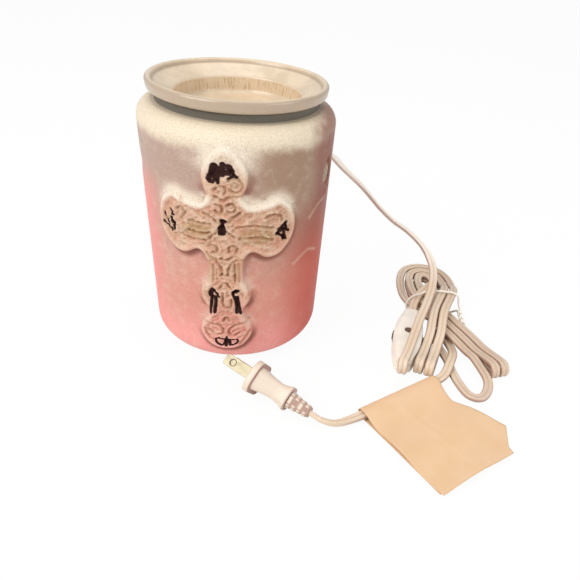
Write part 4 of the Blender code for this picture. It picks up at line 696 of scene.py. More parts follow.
def skin(name, rings, matrix=None, **values):
    """A closed mesh through rings of one count each, with a flat face at both ends."""
    rings = np.array(rings)
    rows, count = rings.shape[:2]
    faces = grid_faces(rows, count)
    faces += [tuple(range(count)), tuple(range((rows - 1) * count, rows * count))]
    return mesh_from(name, rings.reshape(-1, 3), faces, matrix, **values)


def subtract(data, cutters):
    """A mesh with other meshes cut out of it."""
    body = placed("cut_body", data)
    tools = []
    for cutter in cutters:
        tool = placed("cut_tool", cutter)
        tools.append(tool)
        made = body.modifiers.new("Cut", "BOOLEAN")
        made.operation = "DIFFERENCE"
        made.solver = "EXACT"
        made.object = tool
    bpy.context.view_layer.update()
    result = bpy.data.meshes.new_from_object(body.evaluated_get(bpy.context.evaluated_depsgraph_get()))
    for thing in (body, *tools):
        bpy.data.objects.remove(thing)
    return result


def prism(points, low, high, matrix):
    """A flat outline in the XY plane, drawn out from low to high along Z."""
    return skin("prism", [[(x, y, z) for x, y in points] for z in (low, high)], matrix)


def circle(radius, count=48):
    turns = np.linspace(0, 2 * math.pi, count, endpoint=False)
    return [(radius * math.cos(t), radius * math.sin(t)) for t in turns]


def arc(centre_r, centre_z, radius, start, end, count):
    turns = np.radians(np.linspace(start, end, count))
    return [(centre_r + radius * math.cos(t), centre_z + radius * math.sin(t)) for t in turns]


def filleted(corners, closed, step):
    """A profile through corners, each across, height and rounding, with points about a step apart."""
    places = np.array([corner[:2] for corner in corners])
    rounded = []
    for i, (across, height, rounding) in enumerate(corners):
        if rounding == 0.0 or (not closed and i in (0, len(corners) - 1)):
            rounded.append((across, height))
            continue
        at = places[i]
        back = places[i - 1] - at
        on = places[(i + 1) % len(corners)] - at
        back /= np.linalg.norm(back)
        on /= np.linalg.norm(on)
        half = math.acos(np.clip(back @ on, -1, 1)) / 2
        middle = (back + on) / np.linalg.norm(back + on)
        centre = at + middle * rounding / math.sin(half)
        first = at + back * rounding / math.tan(half) - centre
        last = at + on * rounding / math.tan(half) - centre
        start = math.atan2(first[1], first[0])
        sweep = (math.atan2(last[1], last[0]) - start + math.pi) % (2 * math.pi) - math.pi
        count = max(4, math.ceil(abs(sweep) * rounding / step) + 1)
        rounded += arc(*centre, rounding, math.degrees(start), math.degrees(start + sweep), count)
    dense = []
    pairs = zip(rounded, rounded[1:] + rounded[:1]) if closed else zip(rounded, rounded[1:])
    for one, two in pairs:
        one, two = np.array(one), np.array(two)
        count = max(1, round(np.linalg.norm(two - one) / step))
        dense += [tuple(one + (two - one) * k / count) for k in range(count)]
    if not closed:
        dense.append(rounded[-1])
    return np.array(dense)


def turned(name, profile, steps, matrix=None, **values):
    """A profile that starts and ends on the Z axis, swept round it."""
    turns = np.linspace(0, 2 * math.pi, steps, endpoint=False)
    r, z = profile.T[:, :, None]
    ring = np.stack([r * np.cos(turns), r * np.sin(turns), z + 0 * turns], 2)
    values = {key: np.repeat(number, steps) for key, number in values.items()}
    data = mesh_from(name, ring.reshape(-1, 3), grid_faces(len(profile), steps), **values)
    shape = bmesh.new()
    shape.from_mesh(data)
    bmesh.ops.remove_doubles(shape, verts=shape.verts, dist=1e-6)
    bmesh.ops.dissolve_degenerate(shape, edges=shape.edges, dist=1e-7)
    bmesh.ops.recalc_face_normals(shape, faces=shape.faces)
    shape.to_mesh(data)
    shape.free()
    if matrix is not None:
        data.transform(matrix)
    return data


def smooth(value, low, high):
    t = np.clip((value - low) / (high - low), 0, 1)
    return t * t * (3 - 2 * t)


def smooth_line(knots, per_span=6, closed=False):
    """A smooth curve through the knots, with per_span points from each one to the next."""
    knots = np.array(knots, float)
    if len(knots) == 2 and not closed:
        return knots
    if closed:
        ends = np.vstack([knots[-1], knots, knots[:2]])
    else:
        ends = np.vstack([2 * knots[0] - knots[1], knots, 2 * knots[-1] - knots[-2]])
    made = []
    for before, start, end, after in zip(ends, ends[1:], ends[2:], ends[3:]):
        square = 2 * before - 5 * start + 4 * end - after
        cube = 3 * start - before - 3 * end + after
        for t in np.linspace(0, 1, per_span, endpoint=False):
            made.append(0.5 * (2 * start + (end - before) * t + square * t**2 + cube * t**3))
    if not closed:
        made.append(ends[-2])
    return np.array(made)


def line_distance(x, y, line):
    """The least distance from points to a line of straight stretches."""
    least = np.full(x.shape, 1e9)
    for (ax, ay), (bx, by) in zip(line[:-1], line[1:]):
        dx, dy = bx - ax, by - ay
        t = np.clip(((x - ax) * dx + (y - ay) * dy) / max(dx * dx + dy * dy, 1e-18), 0, 1)
        np.minimum(least, np.hypot(x - ax - t * dx, y - ay - t * dy), out=least)
    return least


def depth_inside(x, y, loop):
    """How far points lie inside a closed loop, less than 0 outside."""
    loop = np.vstack([loop, loop[:1]])
    within = np.zeros(x.shape, bool)
    for (ax, ay), (bx, by) in zip(loop[:-1], loop[1:]):
        if ay != by:
            crosses = ((ay > y) != (by > y)) & (x < (bx - ax) * (y - ay) / (by - ay) + ax)
            within ^= crosses
    away = line_distance(x, y, loop)
    return np.where(within, away, -away)


# Right half of the cross's outline, from its top to its foot: millimetres from the middle, and height
CROSS_HALF = np.array([
    (0.0, 130.6), (3.6, 129.2), (6.8, 126.0), (9.4, 121.6), (10.8, 116.4), (10.2, 111.2),
    (8.5, 106.0), (12.0, 101.6), (19.5, 102.6), (26.5, 104.2), (32.6, 99.6), (35.4, 90.0),
    (33.6, 81.0), (27.6, 73.6), (20.4, 72.0), (13.0, 75.6), (9.2, 70.0), (8.9, 61.0), (10.2, 56.0),
    (13.0, 51.5), (12.4, 45.6), (9.4, 40.5), (9.8, 35.2), (13.4, 29.6), (13.9, 23.0), (9.8, 16.6),
    (4.6, 13.8), (0.0, 13.2),
])

# Painted hollows of the cross: half width and line, in millimetres on the wall
PAINTED = [
    (1.6, [(-4.5, 121.5), (-5.3, 117.6)]),
    (1.1, [(-6.5, 116.6), (-6.9, 115.2)]),
    (1.5, [(-3.1, 120.0), (-3.6, 115.4)]),
    (0.8, [(-6.6, 113.9), (-5.1, 113.7)]),
    (0.8, [(-3.1, 115.0), (-2.8, 113.5)]),
    (1.2, [(-0.7, 122.6), (-0.9, 117.6)]),
    (1.1, [(-5.0, 117.7), (-1.2, 118.1), (2.5, 118.9)]),
    (1.35, [(2.0, 121.5), (3.2, 119.6)]),
    (0.8, [(3.2, 118.9), (5.5, 116.7)]),
    (0.65, [(4.0, 117.2), (1.8, 115.8)]),
    (0.65, [(-31.4, 91.1), (-30.3, 88.8)]),
    (0.65, [(-27.6, 94.3), (-26.6, 91.5)]),
    (0.75, [(-32.2, 86.2), (-29.8, 84.8), (-27.7, 82.6)]),
    (0.75, [(-27.6, 89.7), (-26.0, 86.9)]),
    (0.65, [(-30.1, 88.8), (-28.6, 86.6)]),
    (0.75, [(-25.7, 87.2), (-26.3, 83.8)]),
    (0.85, [(29.6, 91.3), (27.6, 88.7), (25.3, 85.5)]),
    (0.65, [(31.4, 86.3), (28.2, 88.0)]),
    (0.75, [(28.4, 87.2), (29.8, 82.0)]),
    (0.65, [(25.3, 85.7), (27.9, 83.8), (28.9, 81.8)]),
    (0.65, [(29.2, 91.0), (30.0, 87.7)]),
    (0.75, [(-1.6, 93.6), (0.4, 93.5)]),
    (0.85, [(-0.7, 93.4), (-1.2, 90.6)]),
    (1.8, [(-1.3, 89.2), (-1.4, 87.0)]),
    (1.2, [(-6.8, 52.0), (-7.8, 49.7), (-6.4, 48.3)]),
    (0.7, [(-7.0, 47.7), (-8.1, 37.4)]),
    (0.75, [(-4.9, 48.1), (-5.8, 37.9)]),
    (0.55, [(-5.8, 52.4), (-3.2, 48.3)]),
    (0.85, [(3.9, 51.9), (6.2, 52.3)]),
    (0.75, [(3.7, 50.6), (4.9, 47.4), (5.6, 43.7), (5.6, 38.4)]),
    (0.75, [(6.0, 48.5), (7.8, 38.2)]),
    (0.55, [(5.2, 53.2), (4.2, 51.3)]),
    (0.5, [(-6.1, 19.7), (-5.3, 17.5), (-2.5, 15.8), (-0.5, 18.4), (-1.6, 19.9), (-6.1, 19.7)]),
    (0.85, [(0.4, 20.6), (0.0, 15.8)]),
    (0.75, [(2.0, 19.2), (2.2, 16.4)]),
    (0.5, [(1.8, 20.2), (5.9, 19.8), (6.1, 17.9), (3.1, 16.2)]),
]

# Unpainted scrolls and flutes carved in the cross, in millimetres on the wall
CARVED = [
    [(1.9, 114.7), (4.0, 115.8), (6.9, 114.9), (8.3, 112.4), (6.9, 109.6), (4.0, 109.2), (2.3, 110.6)],
    [(4.7, 113.8), (6.2, 112.4), (4.9, 110.9), (3.6, 111.9)],
    [(-4.7, 109.7), (-3.1, 111.6), (-1.0, 111.5), (0.6, 110.3), (-0.3, 107.6)],
    [(-4.7, 106.2), (-2.5, 105.5), (-0.7, 103.9), (1.1, 105.8), (4.0, 106.2), (8.1, 107.2)],
    [(-4.0, 101.8), (-1.9, 101.3), (-1.0, 98.8), (-2.7, 97.1), (-4.3, 98.4)],
    [(1.1, 102.0), (3.3, 102.5), (5.2, 100.8), (4.0, 98.2), (1.8, 98.5)],
    [(-9.6, 96.6), (-5.8, 94.5), (-3.6, 92.1)],
    [(7.0, 98.3), (4.0, 95.5), (1.7, 93.0)],
    [(-7.7, 83.1), (-4.5, 86.4), (-3.3, 87.7)],
    [(4.7, 84.4), (2.4, 86.2), (1.1, 87.4)],
    [(-24.2, 95.6), (-20.7, 97.6), (-19.7, 94.2), (-21.8, 90.9)],
    [(19.2, 95.1), (22.4, 96.5), (26.7, 95.2), (27.7, 92.8)],
    [(-22.5, 82.2), (-16.1, 81.2), (-9.4, 81.8)],
    [(5.5, 90.1), (13.1, 90.9), (22.7, 89.0)],
    [(7.0, 83.5), (14.8, 84.2), (23.0, 82.2)],
    [(-17.3, 91.2), (-11.4, 90.8), (-6.7, 90.7)],
    [(-17.6, 85.6), (-11.7, 85.1), (-6.8, 86.1)],
    [(-8.3, 78.2), (-6.1, 79.4), (-3.9, 78.0), (-4.1, 75.2), (-5.9, 75.1)],
    [(2.1, 75.8), (1.9, 78.3), (4.0, 79.6), (5.8, 78.1), (5.2, 75.6)],
    [(-8.8, 75.2), (-7.6, 72.5), (-4.0, 71.5)],
    [(-2.4, 71.7), (0.5, 71.2), (3.1, 72.6)],
    [(-8.6, 69.9), (-4.7, 70.4), (-2.2, 66.1), (-1.9, 62.3)],
    [(9.6, 71.6), (4.9, 70.8), (1.8, 66.5), (1.3, 62.6)],
    [(-2.3, 61.8), (1.8, 62.0)],
    [(-7.7, 68.9), (-8.4, 57.2)],
    [(-6.0, 68.2), (-6.3, 57.6)],
    [(4.9, 68.8), (5.0, 58.6)],
    [(6.8, 69.7), (7.0, 58.7)],
    [(-3.1, 53.4), (-0.5, 57.1), (2.6, 53.9)],
    [(-1.4, 50.9), (-1.5, 44.4), (-0.2, 41.3), (2.7, 41.7), (3.0, 46.9)],
    [(-10.4, 54.7), (-10.5, 50.4), (-9.2, 47.5)],
    [(11.3, 54.3), (12.2, 51.0), (10.6, 47.9)],
    [(-1.4, 32.2), (0.0, 34.8), (1.8, 32.5)],
    [(-11.1, 31.2), (-6.8, 29.6), (-2.9, 28.6), (-1.5, 24.6), (-5.1, 23.2), (-9.5, 25.6)],
    [(12.5, 32.9), (7.3, 30.3), (3.0, 28.4), (1.5, 24.4), (3.8, 22.6), (7.3, 24.9)],
    [(-11.5, 26.3), (-9.8, 21.6), (-7.1, 19.1)],
    [(13.0, 26.8), (10.0, 20.8), (7.4, 17.1)],
]

# Raised lines on the cross and on the jar's side: half width, lift and line, in millimetres
RAISED = [
    (1.0, 0.55, [(-9.0, 121.0), (-5.0, 126.0), (0.0, 127.2), (5.0, 126.0), (8.6, 121.0)]),
    (0.9, 0.5, [(-8.4, 110.0), (-4.0, 111.4), (-0.8, 109.0), (-2.2, 105.6)]),
    (1.3, 0.6, [(5.1, 112.4), (5.2, 110.8)]),
    (0.9, 0.55, [(-24.0, 97.6), (-16.0, 96.4), (-10.6, 92.2)]),
    (0.9, 0.55, [(-24.0, 77.4), (-16.0, 79.4), (-10.6, 83.6)]),
    (0.9, 0.55, [(24.6, 97.8), (16.0, 96.4), (9.4, 92.2)]),
    (0.9, 0.55, [(24.6, 77.0), (16.0, 79.2), (9.4, 83.6)]),
    (0.8, 0.5, [(-21.4, 93.4), (-18.6, 90.6), (-19.4, 86.6), (-22.0, 84.6)]),
    (0.8, 0.5, [(19.4, 94.4), (17.4, 91.0), (18.2, 87.0), (20.6, 84.0)]),
    (0.8, 0.5, [(-3.6, 91.4), (-3.9, 87.4), (-2.8, 84.4), (-0.2, 84.2), (1.0, 87.4), (0.8, 91.4)]),
    (0.9, 0.5, [(-4.4, 72.6), (-1.0, 74.4), (2.4, 72.6)]),
    (0.9, 0.5, [(-1.0, 58.6), (-1.0, 49.0)]),
    (1.1, 0.5, [(0.0, 47.6), (0.2, 44.0)]),
    (1.0, 0.5, [(-10.6, 52.0), (-10.6, 47.4), (-9.2, 43.8)]),
    (1.0, 0.5, [(9.8, 52.4), (10.6, 47.4), (9.0, 43.8)]),
    (0.9, 0.5, [(-9.4, 24.4), (-6.0, 23.6), (-3.6, 25.2)]),
    (0.9, 0.5, [(10.0, 24.0), (7.2, 22.6), (5.6, 21.4)]),
]
SIDE_LINES = [
    (1.0, 0.8, [(67.7, 100.0), (63.3, 95.0), (55.4, 94.0), (47.4, 88.0)]),
    (0.9, 0.5, [(57.1, 65.0), (48.3, 68.0), (38.2, 63.0)]),
]

# Directions of the fine folds in the face of the cross, in radians to the millimetre
FOLDS = [(0.95, 0.25), (-0.55, 0.85), (0.20, -1.05), (0.75, -0.70)]

# Tan patches on the arms of the cross: middle, height and half sizes, in millimetres
TAN_PATCHES = [(-14.0, 86.5, 9.0, 5.5), (15.5, 84.5, 11.0, 5.5)]


def jar_radius(z):
    return JAR_BASE_RADIUS + JAR_TAPER * z


def teardrop():
    """A round-bottomed vent that comes to a point at its top."""
    radius = VENT_WIDTH / 2
    points = arc(0.0, radius - VENT_HEIGHT / 2, radius, 150, 390, 25)
    return points + [(0.0, VENT_HEIGHT / 2)]


def around_jar(turn, z, radius):
    """A frame on the jar's wall whose Z points outwards; turn 0 faces -Y and grows towards +X."""
    angle = math.radians(turn)
    out = Vector((math.sin(angle), -math.cos(angle), 0.0))
    spin = Matrix.Rotation(angle, 4, "Z") @ Matrix.Rotation(math.radians(90.0), 4, "X")
    return Matrix.Translation(out * radius + Vector((0, 0, z))) @ spin


def carve(x, z):
    """The cross at points on the wall, in millimetres: its height, and 0 to 1 for each kind of paint, painted
    highlight and painted shadow.
    """
    loop = smooth_line(np.vstack([CROSS_HALF, (CROSS_HALF * (-1, 1))[-2:0:-1]]), 8, closed=True)
    inner = depth_inside(x, z, loop)
    lean = np.clip((depth_inside(x, z - 1.2, loop) - inner) / 1.2, -1, 1)
    rise = np.clip((inner + 0.4) / 2.2, 0, 1)
    face = np.sqrt(1 - (1 - rise) ** 2)
    rim = np.exp(-(((inner - 2.0) / 1.4) ** 2))
    panel = smooth(inner, 1.6, 4.2)
    height = CROSS_RELIEF * face - 0.8 * panel * (1 - rim)
    # Cream on the raised rim and lines of the cross, partly a painted highlight
    crest = 0.5 * rim
    wash = np.zeros(x.shape)
    tan = np.zeros(x.shape)
    strokes = [(width * 1.22, 0.9, True, knots) for width, knots in PAINTED]
    strokes += [(0.7, 0.95, False, knots) for knots in CARVED]
    folds = 0
    for across, up in FOLDS:
        folds += np.abs(np.sin(across * x + up * z + 1.7 * across + np.sin(0.4 * x - 0.5 * z)))
    crease = (1 - smooth(folds / len(FOLDS), 0.40, 0.78)) * panel
    height -= 0.75 * crease
    tan += 0.5 * crease
    for width, depth, painted, knots in strokes:
        away = line_distance(x, z, smooth_line(knots))
        cut = 1 - smooth(away, width * 0.5, width * 1.3)
        height -= depth * cut
        if painted:
            wash = np.maximum(wash, cut)
        else:
            tan = np.maximum(tan, 0.7 * cut)
        lip = np.exp(-(((away - width * 1.9) / 0.6) ** 2)) * panel
        height += 0.55 * lip
        crest = np.maximum(crest * (1 - cut), 0.4 * lip)
    for width, lift, knots in RAISED:
        away = line_distance(x, z, smooth_line(knots))
        ridge = np.sqrt(np.clip(1 - (away / (width * 1.4)) ** 2, 0, 1)) * (inner > 0)
        height += lift * ridge
        crest = np.maximum(crest, 0.6 * ridge)
    height = np.where(inner > 0.8, np.minimum(height, CROSS_RELIEF), height)
    for width, lift, knots in SIDE_LINES:
        away = line_distance(x, z, smooth_line(knots))
        ridge = np.exp(-((away / width) ** 2))
        height += lift * ridge
        crest = np.maximum(crest, 0.6 * ridge)
    for middle, level, across, up in TAN_PATCHES:
        near = 1 - smooth(np.hypot((x - middle) / across, (z - level) / up), 0.55, 1.1)
        tan = np.maximum(tan, near * smooth(inner, 1.5, 3.5))
    outside = np.minimum(inner, 0)
    # Only along upward edges: white brush paint, partly a painted highlight where light falls from above
    spread = 3.4 + 2.6 * smooth(z, 114, 122)
    halo = np.exp(-((outside / spread) ** 2)) * (1 - smooth(inner, 1.0, 4.0)) * smooth(lean, -0.1, 0.6)
    halo *= 0.35 + 0.65 * smooth(z, 48, 74)
    # Painted shadow on the wall below the downward edges of the cross
    under = smooth(outside, -4.8, -1.6) * (1 - smooth(inner, 0.1, 1.2)) * smooth(-lean + 0.010 * x, -0.2, 0.8)
    on = inner > 0
    return height, smooth(inner, -0.1, 0.5), np.clip(wash, 0, 1) * on, crest, tan * on, halo, under


def jar_columns():
    """Turns of the jar's columns, close together over the cross and the right vent."""
    near = np.arange(CLOSE_COLUMNS_FROM, CLOSE_COLUMNS_TO, CLOSE_COLUMN_STEP)
    far = np.linspace(CLOSE_COLUMNS_TO, CLOSE_COLUMNS_FROM + 360.0, FAR_COLUMNS, endpoint=False)
    return np.r_[near, far]


def make_jar():
    ledge_z = JAR_FOOT_Z + PLATE_RECESS
    inner_top = JAR_SHOULDER_Z - JAR_WALL
    corners = [
        (MOUTH_RADIUS, JAR_TOP_Z, 0.9 * MM),
        (NECK_RADIUS, JAR_TOP_Z, 0.9 * MM),
        (NECK_RADIUS, JAR_SHOULDER_Z, 0.8 * MM),
        (JAR_SHOULDER_RADIUS, JAR_SHOULDER_Z, JAR_SHOULDER_ROUNDING),
        (jar_radius(JAR_FOOT_Z), JAR_FOOT_Z, JAR_FOOT_ROUNDING),
        (PLATE_RECESS_RADIUS, JAR_FOOT_Z, 0.8 * MM),
        (PLATE_RECESS_RADIUS, ledge_z, 0.4 * MM),
        (LEDGE_RADIUS, ledge_z, 0.6 * MM),
        (LEDGE_RADIUS, ledge_z + JAR_WALL, 0.6 * MM),
        (jar_radius(ledge_z) - JAR_WALL, ledge_z + JAR_WALL, 7.0 * MM),
        (jar_radius(inner_top) - JAR_WALL, inner_top, 3.0 * MM),
        (MOUTH_RADIUS, inner_top, 0.8 * MM),
    ]
    profile = filleted(corners, True, 0.55 * MM)
    r, level = profile.T
    wall = jar_radius(level)
    outer = np.clip(1 - (wall - r - 0.05 * MM) / (2.0 * MM), 0, 1)
    outer *= (level > 4 * MM) & (level < 136 * MM)
    within = (wall - r > JAR_WALL - 0.6 * MM) & (level > ledge_z - 0.2 * MM) & (level < inner_top + 0.3 * MM)
    turns = jar_columns()
    signed = (turns + 180.0) % 360.0 - 180.0
    x = np.radians(signed)[None, :] * jar_radius(CROSS_CENTRE_Z) / MM + 0 * level[:, None]
    z = level[:, None] / MM + 0 * x
    facing = (signed > CLOSE_COLUMNS_FROM - 0.5) & (signed < CLOSE_COLUMNS_TO + 0.5)
    patch = np.ix_(outer > 0, facing)
    names = ("height", "cross", "wash", "crest", "tan", "halo", "under")
    baked = {name: np.zeros(x.shape) for name in names}
    for name, values in zip(names, carve(x[patch], z[patch])):
        baked[name][patch] = values
    room = np.clip((CROSS_FRONT_RADIUS - wall / MM) / CROSS_RELIEF, 0, 1)
    height = baked.pop("height") * room[:, None] * MM
    holes = [(turn, VENT_Z, teardrop()) for turn in VENT_TURNS]
    holes.append((OUTLET_TURN, OUTLET_Z, circle(OUTLET_RADIUS)))
    cutters = []
    for turn, middle, loop in holes:
        away = (signed - turn + 180.0) % 360.0 - 180.0
        around = away[None, :] * math.pi / 180 * jar_radius(middle) + 0 * z
        near = np.hypot(around, z * MM - middle) < 13 * MM
        clear = -depth_inside(around[near], z[near] * MM - middle, np.array(loop))
        height[near] -= 0.75 * MM * (1 - smooth(clear, 0.0, 1.6 * MM))
        cutters.append(prism(loop, -CUT_REACH, CUT_REACH, around_jar(turn, middle, jar_radius(middle))))
    radius = r[:, None] + height * outer[:, None]
    angle = np.radians(turns)[None, :]
    vertices = np.stack([radius * np.sin(angle), -radius * np.cos(angle), z * MM], 2).reshape(-1, 3)
    values = {name: (grid * outer[:, None]).ravel() for name, grid in baked.items()}
    values["inside"] = np.repeat(within, len(turns))
    data = mesh_from("jar", vertices, grid_faces(*x.shape, close_rows=True), **values)
    piece("jar", subtract(data, cutters), "warmer", "crackle_glaze", ["jar_body"], 50)


def make_dish():
    under = DISH_FLOOR_Z - DISH_WALL
    lip_r = DISH_RIM_RADIUS - DISH_LIP
    points = [(0.0, DISH_FLOOR_Z), (DISH_WELL_RADIUS - 4.2 * MM, DISH_FLOOR_Z)]
    points += arc(DISH_WELL_RADIUS - 4.2 * MM, DISH_FLOOR_Z + 3.0 * MM, 3.0 * MM, -85, 0, 9)
    points += arc(DISH_WELL_RADIUS + 0.5 * MM, DISH_LEDGE_Z - 1.0 * MM, 1.0 * MM, 175, 115, 7)
    points += [(lip_r - 2.3 * MM, DISH_TOP_Z - 2.3 * MM)]
    points += arc(lip_r, DISH_TOP_Z - DISH_LIP, DISH_LIP, 165, -5, 21)
    points += arc(DISH_RIM_RADIUS - 3.0 * MM, DISH_SEAT_Z + 2.6 * MM, 2.6 * MM, -6, -90, 12)
    points += arc(DISH_SKIRT_RADIUS + 0.8 * MM, DISH_SEAT_Z - 0.8 * MM, 0.8 * MM, 90, 180, 6)
    points += arc(DISH_SKIRT_RADIUS - 3.0 * MM, under + 3.0 * MM, 3.0 * MM, 0, -90, 9)
    points += [(0.0, under)]
    profile = filleted([(*point, 0.0) for point in points], False, 0.8 * MM)
    r, z = profile.T
    upper = np.arange(len(r)) < np.argmax(r)
    wall = upper * smooth(z, DISH_FLOOR_Z + 0.8 * MM, DISH_FLOOR_Z + 2.6 * MM)
    wall *= z < DISH_LEDGE_Z - 0.6 * MM
    floor = upper * (1 - smooth(z, DISH_FLOOR_Z, DISH_FLOOR_Z + 1.0 * MM))
    rim = smooth(r, lip_r, DISH_RIM_RADIUS - 0.4 * MM)
    line = upper * np.exp(-(((r - lip_r + 2.1 * MM) / (0.6 * MM)) ** 2))
    # Painted shade: a dark line just above the seat, where the dish sits on the jar
    line += (1 - upper) * np.exp(-(((z - DISH_SEAT_Z - 0.5 * MM) / (0.6 * MM)) ** 2))
    brink = np.exp(-(((r - DISH_WELL_RADIUS) / (0.5 * MM)) ** 2)) * (z > DISH_LEDGE_Z - 1.2 * MM)
    line += upper * 0.7 * brink
    data = turned("dish", profile, 180, wall=wall, floor=floor, rim=rim, line=line)
    wobble = settings().dish.wobble
    for vertex in data.vertices:
        flat = math.hypot(vertex.co.x, vertex.co.y)
        if flat > 30 * MM and vertex.co.z > DISH_SEAT_Z:
            turn = math.atan2(vertex.co.y, vertex.co.x)
            waves = math.sin(2 * turn + 0.7) + 0.5 * math.sin(5 * turn) + 0.4 * math.sin(9 * turn + 2)
            shift = wobble * waves / 2
            share = min(1.0, (flat - 30 * MM) / (12 * MM)) * min(1.0, (vertex.co.z - DISH_SEAT_Z) / (4 * MM))
            grow = 1 + (shift * share - 0.1 * MM * share) / flat
            vertex.co.x *= grow
            vertex.co.y *= grow
            vertex.co.z += 0.5 * shift * share - 0.1 * MM * share
    piece("dish", data, "dish", "dish_glaze", ["wax_dish"])


def make_inside():
    """The steel, rubber and phenolic pieces under and inside the jar."""
    screws = ["clamp_screw_1", "clamp_screw_2", "clamp_nut_1", "clamp_nut_2", "holder_screw"]
    dress("black_steel", ["base_plate"], 0.15 * MM)
    dress("rubber", ["foot_1", "foot_2", "foot_3", "foot_4"])
    dress("zinc_steel", ["lamp_bracket", *screws], 0.15 * MM)
    dress("phenolic", ["lamp_holder"])
    dress("brass", ["thread_shell", "centre_contact"])


def make_lamp():
    """The small screw lamp."""
    dress("nickel", ["lamp_tip", "filament", "filament_wire_1", "filament_wire_2"])
    dress("phenolic", ["lamp_insulator"])
    dress("brass", ["lamp_cap"])
    dress("clear_glass", ["lamp_glass", "lamp_stem"])


OUTLET = around_jar(OUTLET_TURN, OUTLET_Z, jar_radius(OUTLET_Z))


def out_of_jar(distance):
    """A point in the outlet's middle line at a distance outside the wall."""
    return OUTLET @ Vector((0, 0, distance))


def make_boot():
    """The ribbed boot that holds the cord in the jar's wall."""
    body = OUTLET_RADIUS - FIT
    inner = -JAR_WALL - 4.3 * MM
    flange_top = 1.8 * MM + FIT
    corners = [(0.0, BOOT_LENGTH, 0.0), (BOOT_NOSE_RADIUS, BOOT_LENGTH, 0.5 * MM)]
    for rib in range(BOOT_RIBS):
        z = BOOT_LENGTH - (rib + 0.55) * (BOOT_LENGTH - flange_top) / (BOOT_RIBS + 0.4)
        radius = BOOT_NOSE_RADIUS + (body - BOOT_NOSE_RADIUS) * (rib + 1) / (BOOT_RIBS + 1)
        corners += [(radius, z + 0.5 * MM, 0.3 * MM), (radius - 0.6 * MM, z, 0.15 * MM)]
        corners += [(radius - 0.6 * MM, z - 0.7 * MM, 0.15 * MM), (radius + 0.2 * MM, z - 1.2 * MM, 0.3 * MM)]
    corners += [(body, flange_top, 0.4 * MM), (BOOT_FLANGE_RADIUS, flange_top, 0.7 * MM)]
    corners += [(BOOT_FLANGE_RADIUS, 2 * FIT, 0.2 * MM), (body, 2 * FIT, 0.1 * MM), (body, inner, 0.5 * MM)]
    corners += [(0.0, inner, 0.0)]
    profile = filleted(corners, False, 0.35 * MM)
    data = turned("boot", profile, 48, matrix=OUTLET)
    piece("boot", data, "warmer", "cream_plastic", ["cord_boot"], 60)


def smooth_route(knots, step):
    """Points about a step apart on a smooth curve through the knots."""
    fine = smooth_line(knots, 24)
    along = np.r_[0, np.cumsum(np.linalg.norm(np.diff(fine, axis=0), axis=1))]
    marks = np.linspace(0, along[-1], max(2, round(along[-1] / step) + 1))
    return np.stack([np.interp(marks, along, fine[:, k]) for k in range(3)], 1)


def directions(points):
    """The direction of travel at each point, halfway between its two stretches."""
    steps = np.diff(points, axis=0)
    steps /= np.linalg.norm(steps, axis=1)[:, None]
    both = np.vstack([steps[:1], steps[:-1] + steps[1:], steps[-1:]])
    return both / np.linalg.norm(both, axis=1)[:, None]


def flat_across(points):
    """The level direction to the left of travel, for a cord that lies on its wide side."""
    across = np.cross(np.array([0.0, 0.0, 1.0]), directions(np.array(points, float)))
    return across / np.linalg.norm(across, axis=1)[:, None]


def square_to_travel(points, across):
    along = directions(np.array(points, float))
    level = across - (across * along).sum(1)[:, None] * along
    return level / np.linalg.norm(level, axis=1)[:, None]


# Knots of the lead between the boot and the switch
LEAD_ROUTE = np.array([
    (46.0, 51.1, 96.8), (49.6, 53.6, 95.4), (54.6, 53.6, 91.8), (62.9, 50.2, 85.0),
    (75.0, 49.8, 74.6), (88.0, 50.4, 60.8), (98.4, 51.4, 51.6), (110.0, 52.2, 43.8),
    (120.2, 49.6, 35.8), (126.0, 44.0, 29.4), (128.0, 33.0, 24.6), (125.3, 17.6, 20.6),
    (120.2, 2.8, 18.2), (113.6, -14.0, 15.8), (108.0, -30.5, 15.1), (103.2, -44.5, 14.9),
])

# Middle line of the tied band, from its left lobe round the ring to its right lobe, with its height
BAND_LINE = np.array([
    (114.2, -45.8, 5.8), (117.2, -37.6, 4.9), (120.6, -28.5, 6.4), (124.0, -19.0, 8.9),
    (126.4, -9.0, 10.6), (129.4, 4.0, 12.1), (134.5, 20.0, 12.6), (138.0, 33.0, 10.1),
    (139.3, 44.0, 5.4), (139.3, 54.5, 3.6), (135.8, 63.2, 3.4), (127.8, 66.8, 3.4),
    (119.8, 63.2, 3.4), (116.6, 54.5, 3.4), (116.5, 45.0, 3.4), (117.2, 35.5, 4.0),
    (120.3, 25.0, 5.1), (123.4, 18.6, 5.4), (128.0, 10.6, 5.3), (133.0, 3.0, 4.5),
    (137.4, -4.0, 3.7), (142.4, -13.0, 3.4), (147.0, -23.5, 3.5), (151.0, -34.0, 4.4),
    (154.6, -45.0, 5.8),
])

# Knots of the first lap between the switch and the band
FIRST_LAP = np.array([(115.3, 16.6, 8.6), (118.4, 22.6, 10.8), (123.4, 29.6, 12.0), (129.0, 36.6, 12.2)])

# Knots of the loose last loop, from the right lobe back under the left one
LAST_LOOP = np.array([
    (150.2, -52.0, 4.6), (149.0, -60.5, 3.0), (144.2, -66.4, 2.0), (138.0, -65.0, 1.9),
    (134.2, -56.5, 1.8), (131.6, -45.0, 1.7), (130.4, -33.0, 1.7), (128.0, -24.6, 1.7),
    (126.8, -18.6, 1.7),
])

# Direction in which the loose loop ends and the tail starts
LOOP_HEADING = np.array([-0.10, 0.995, 0.0])

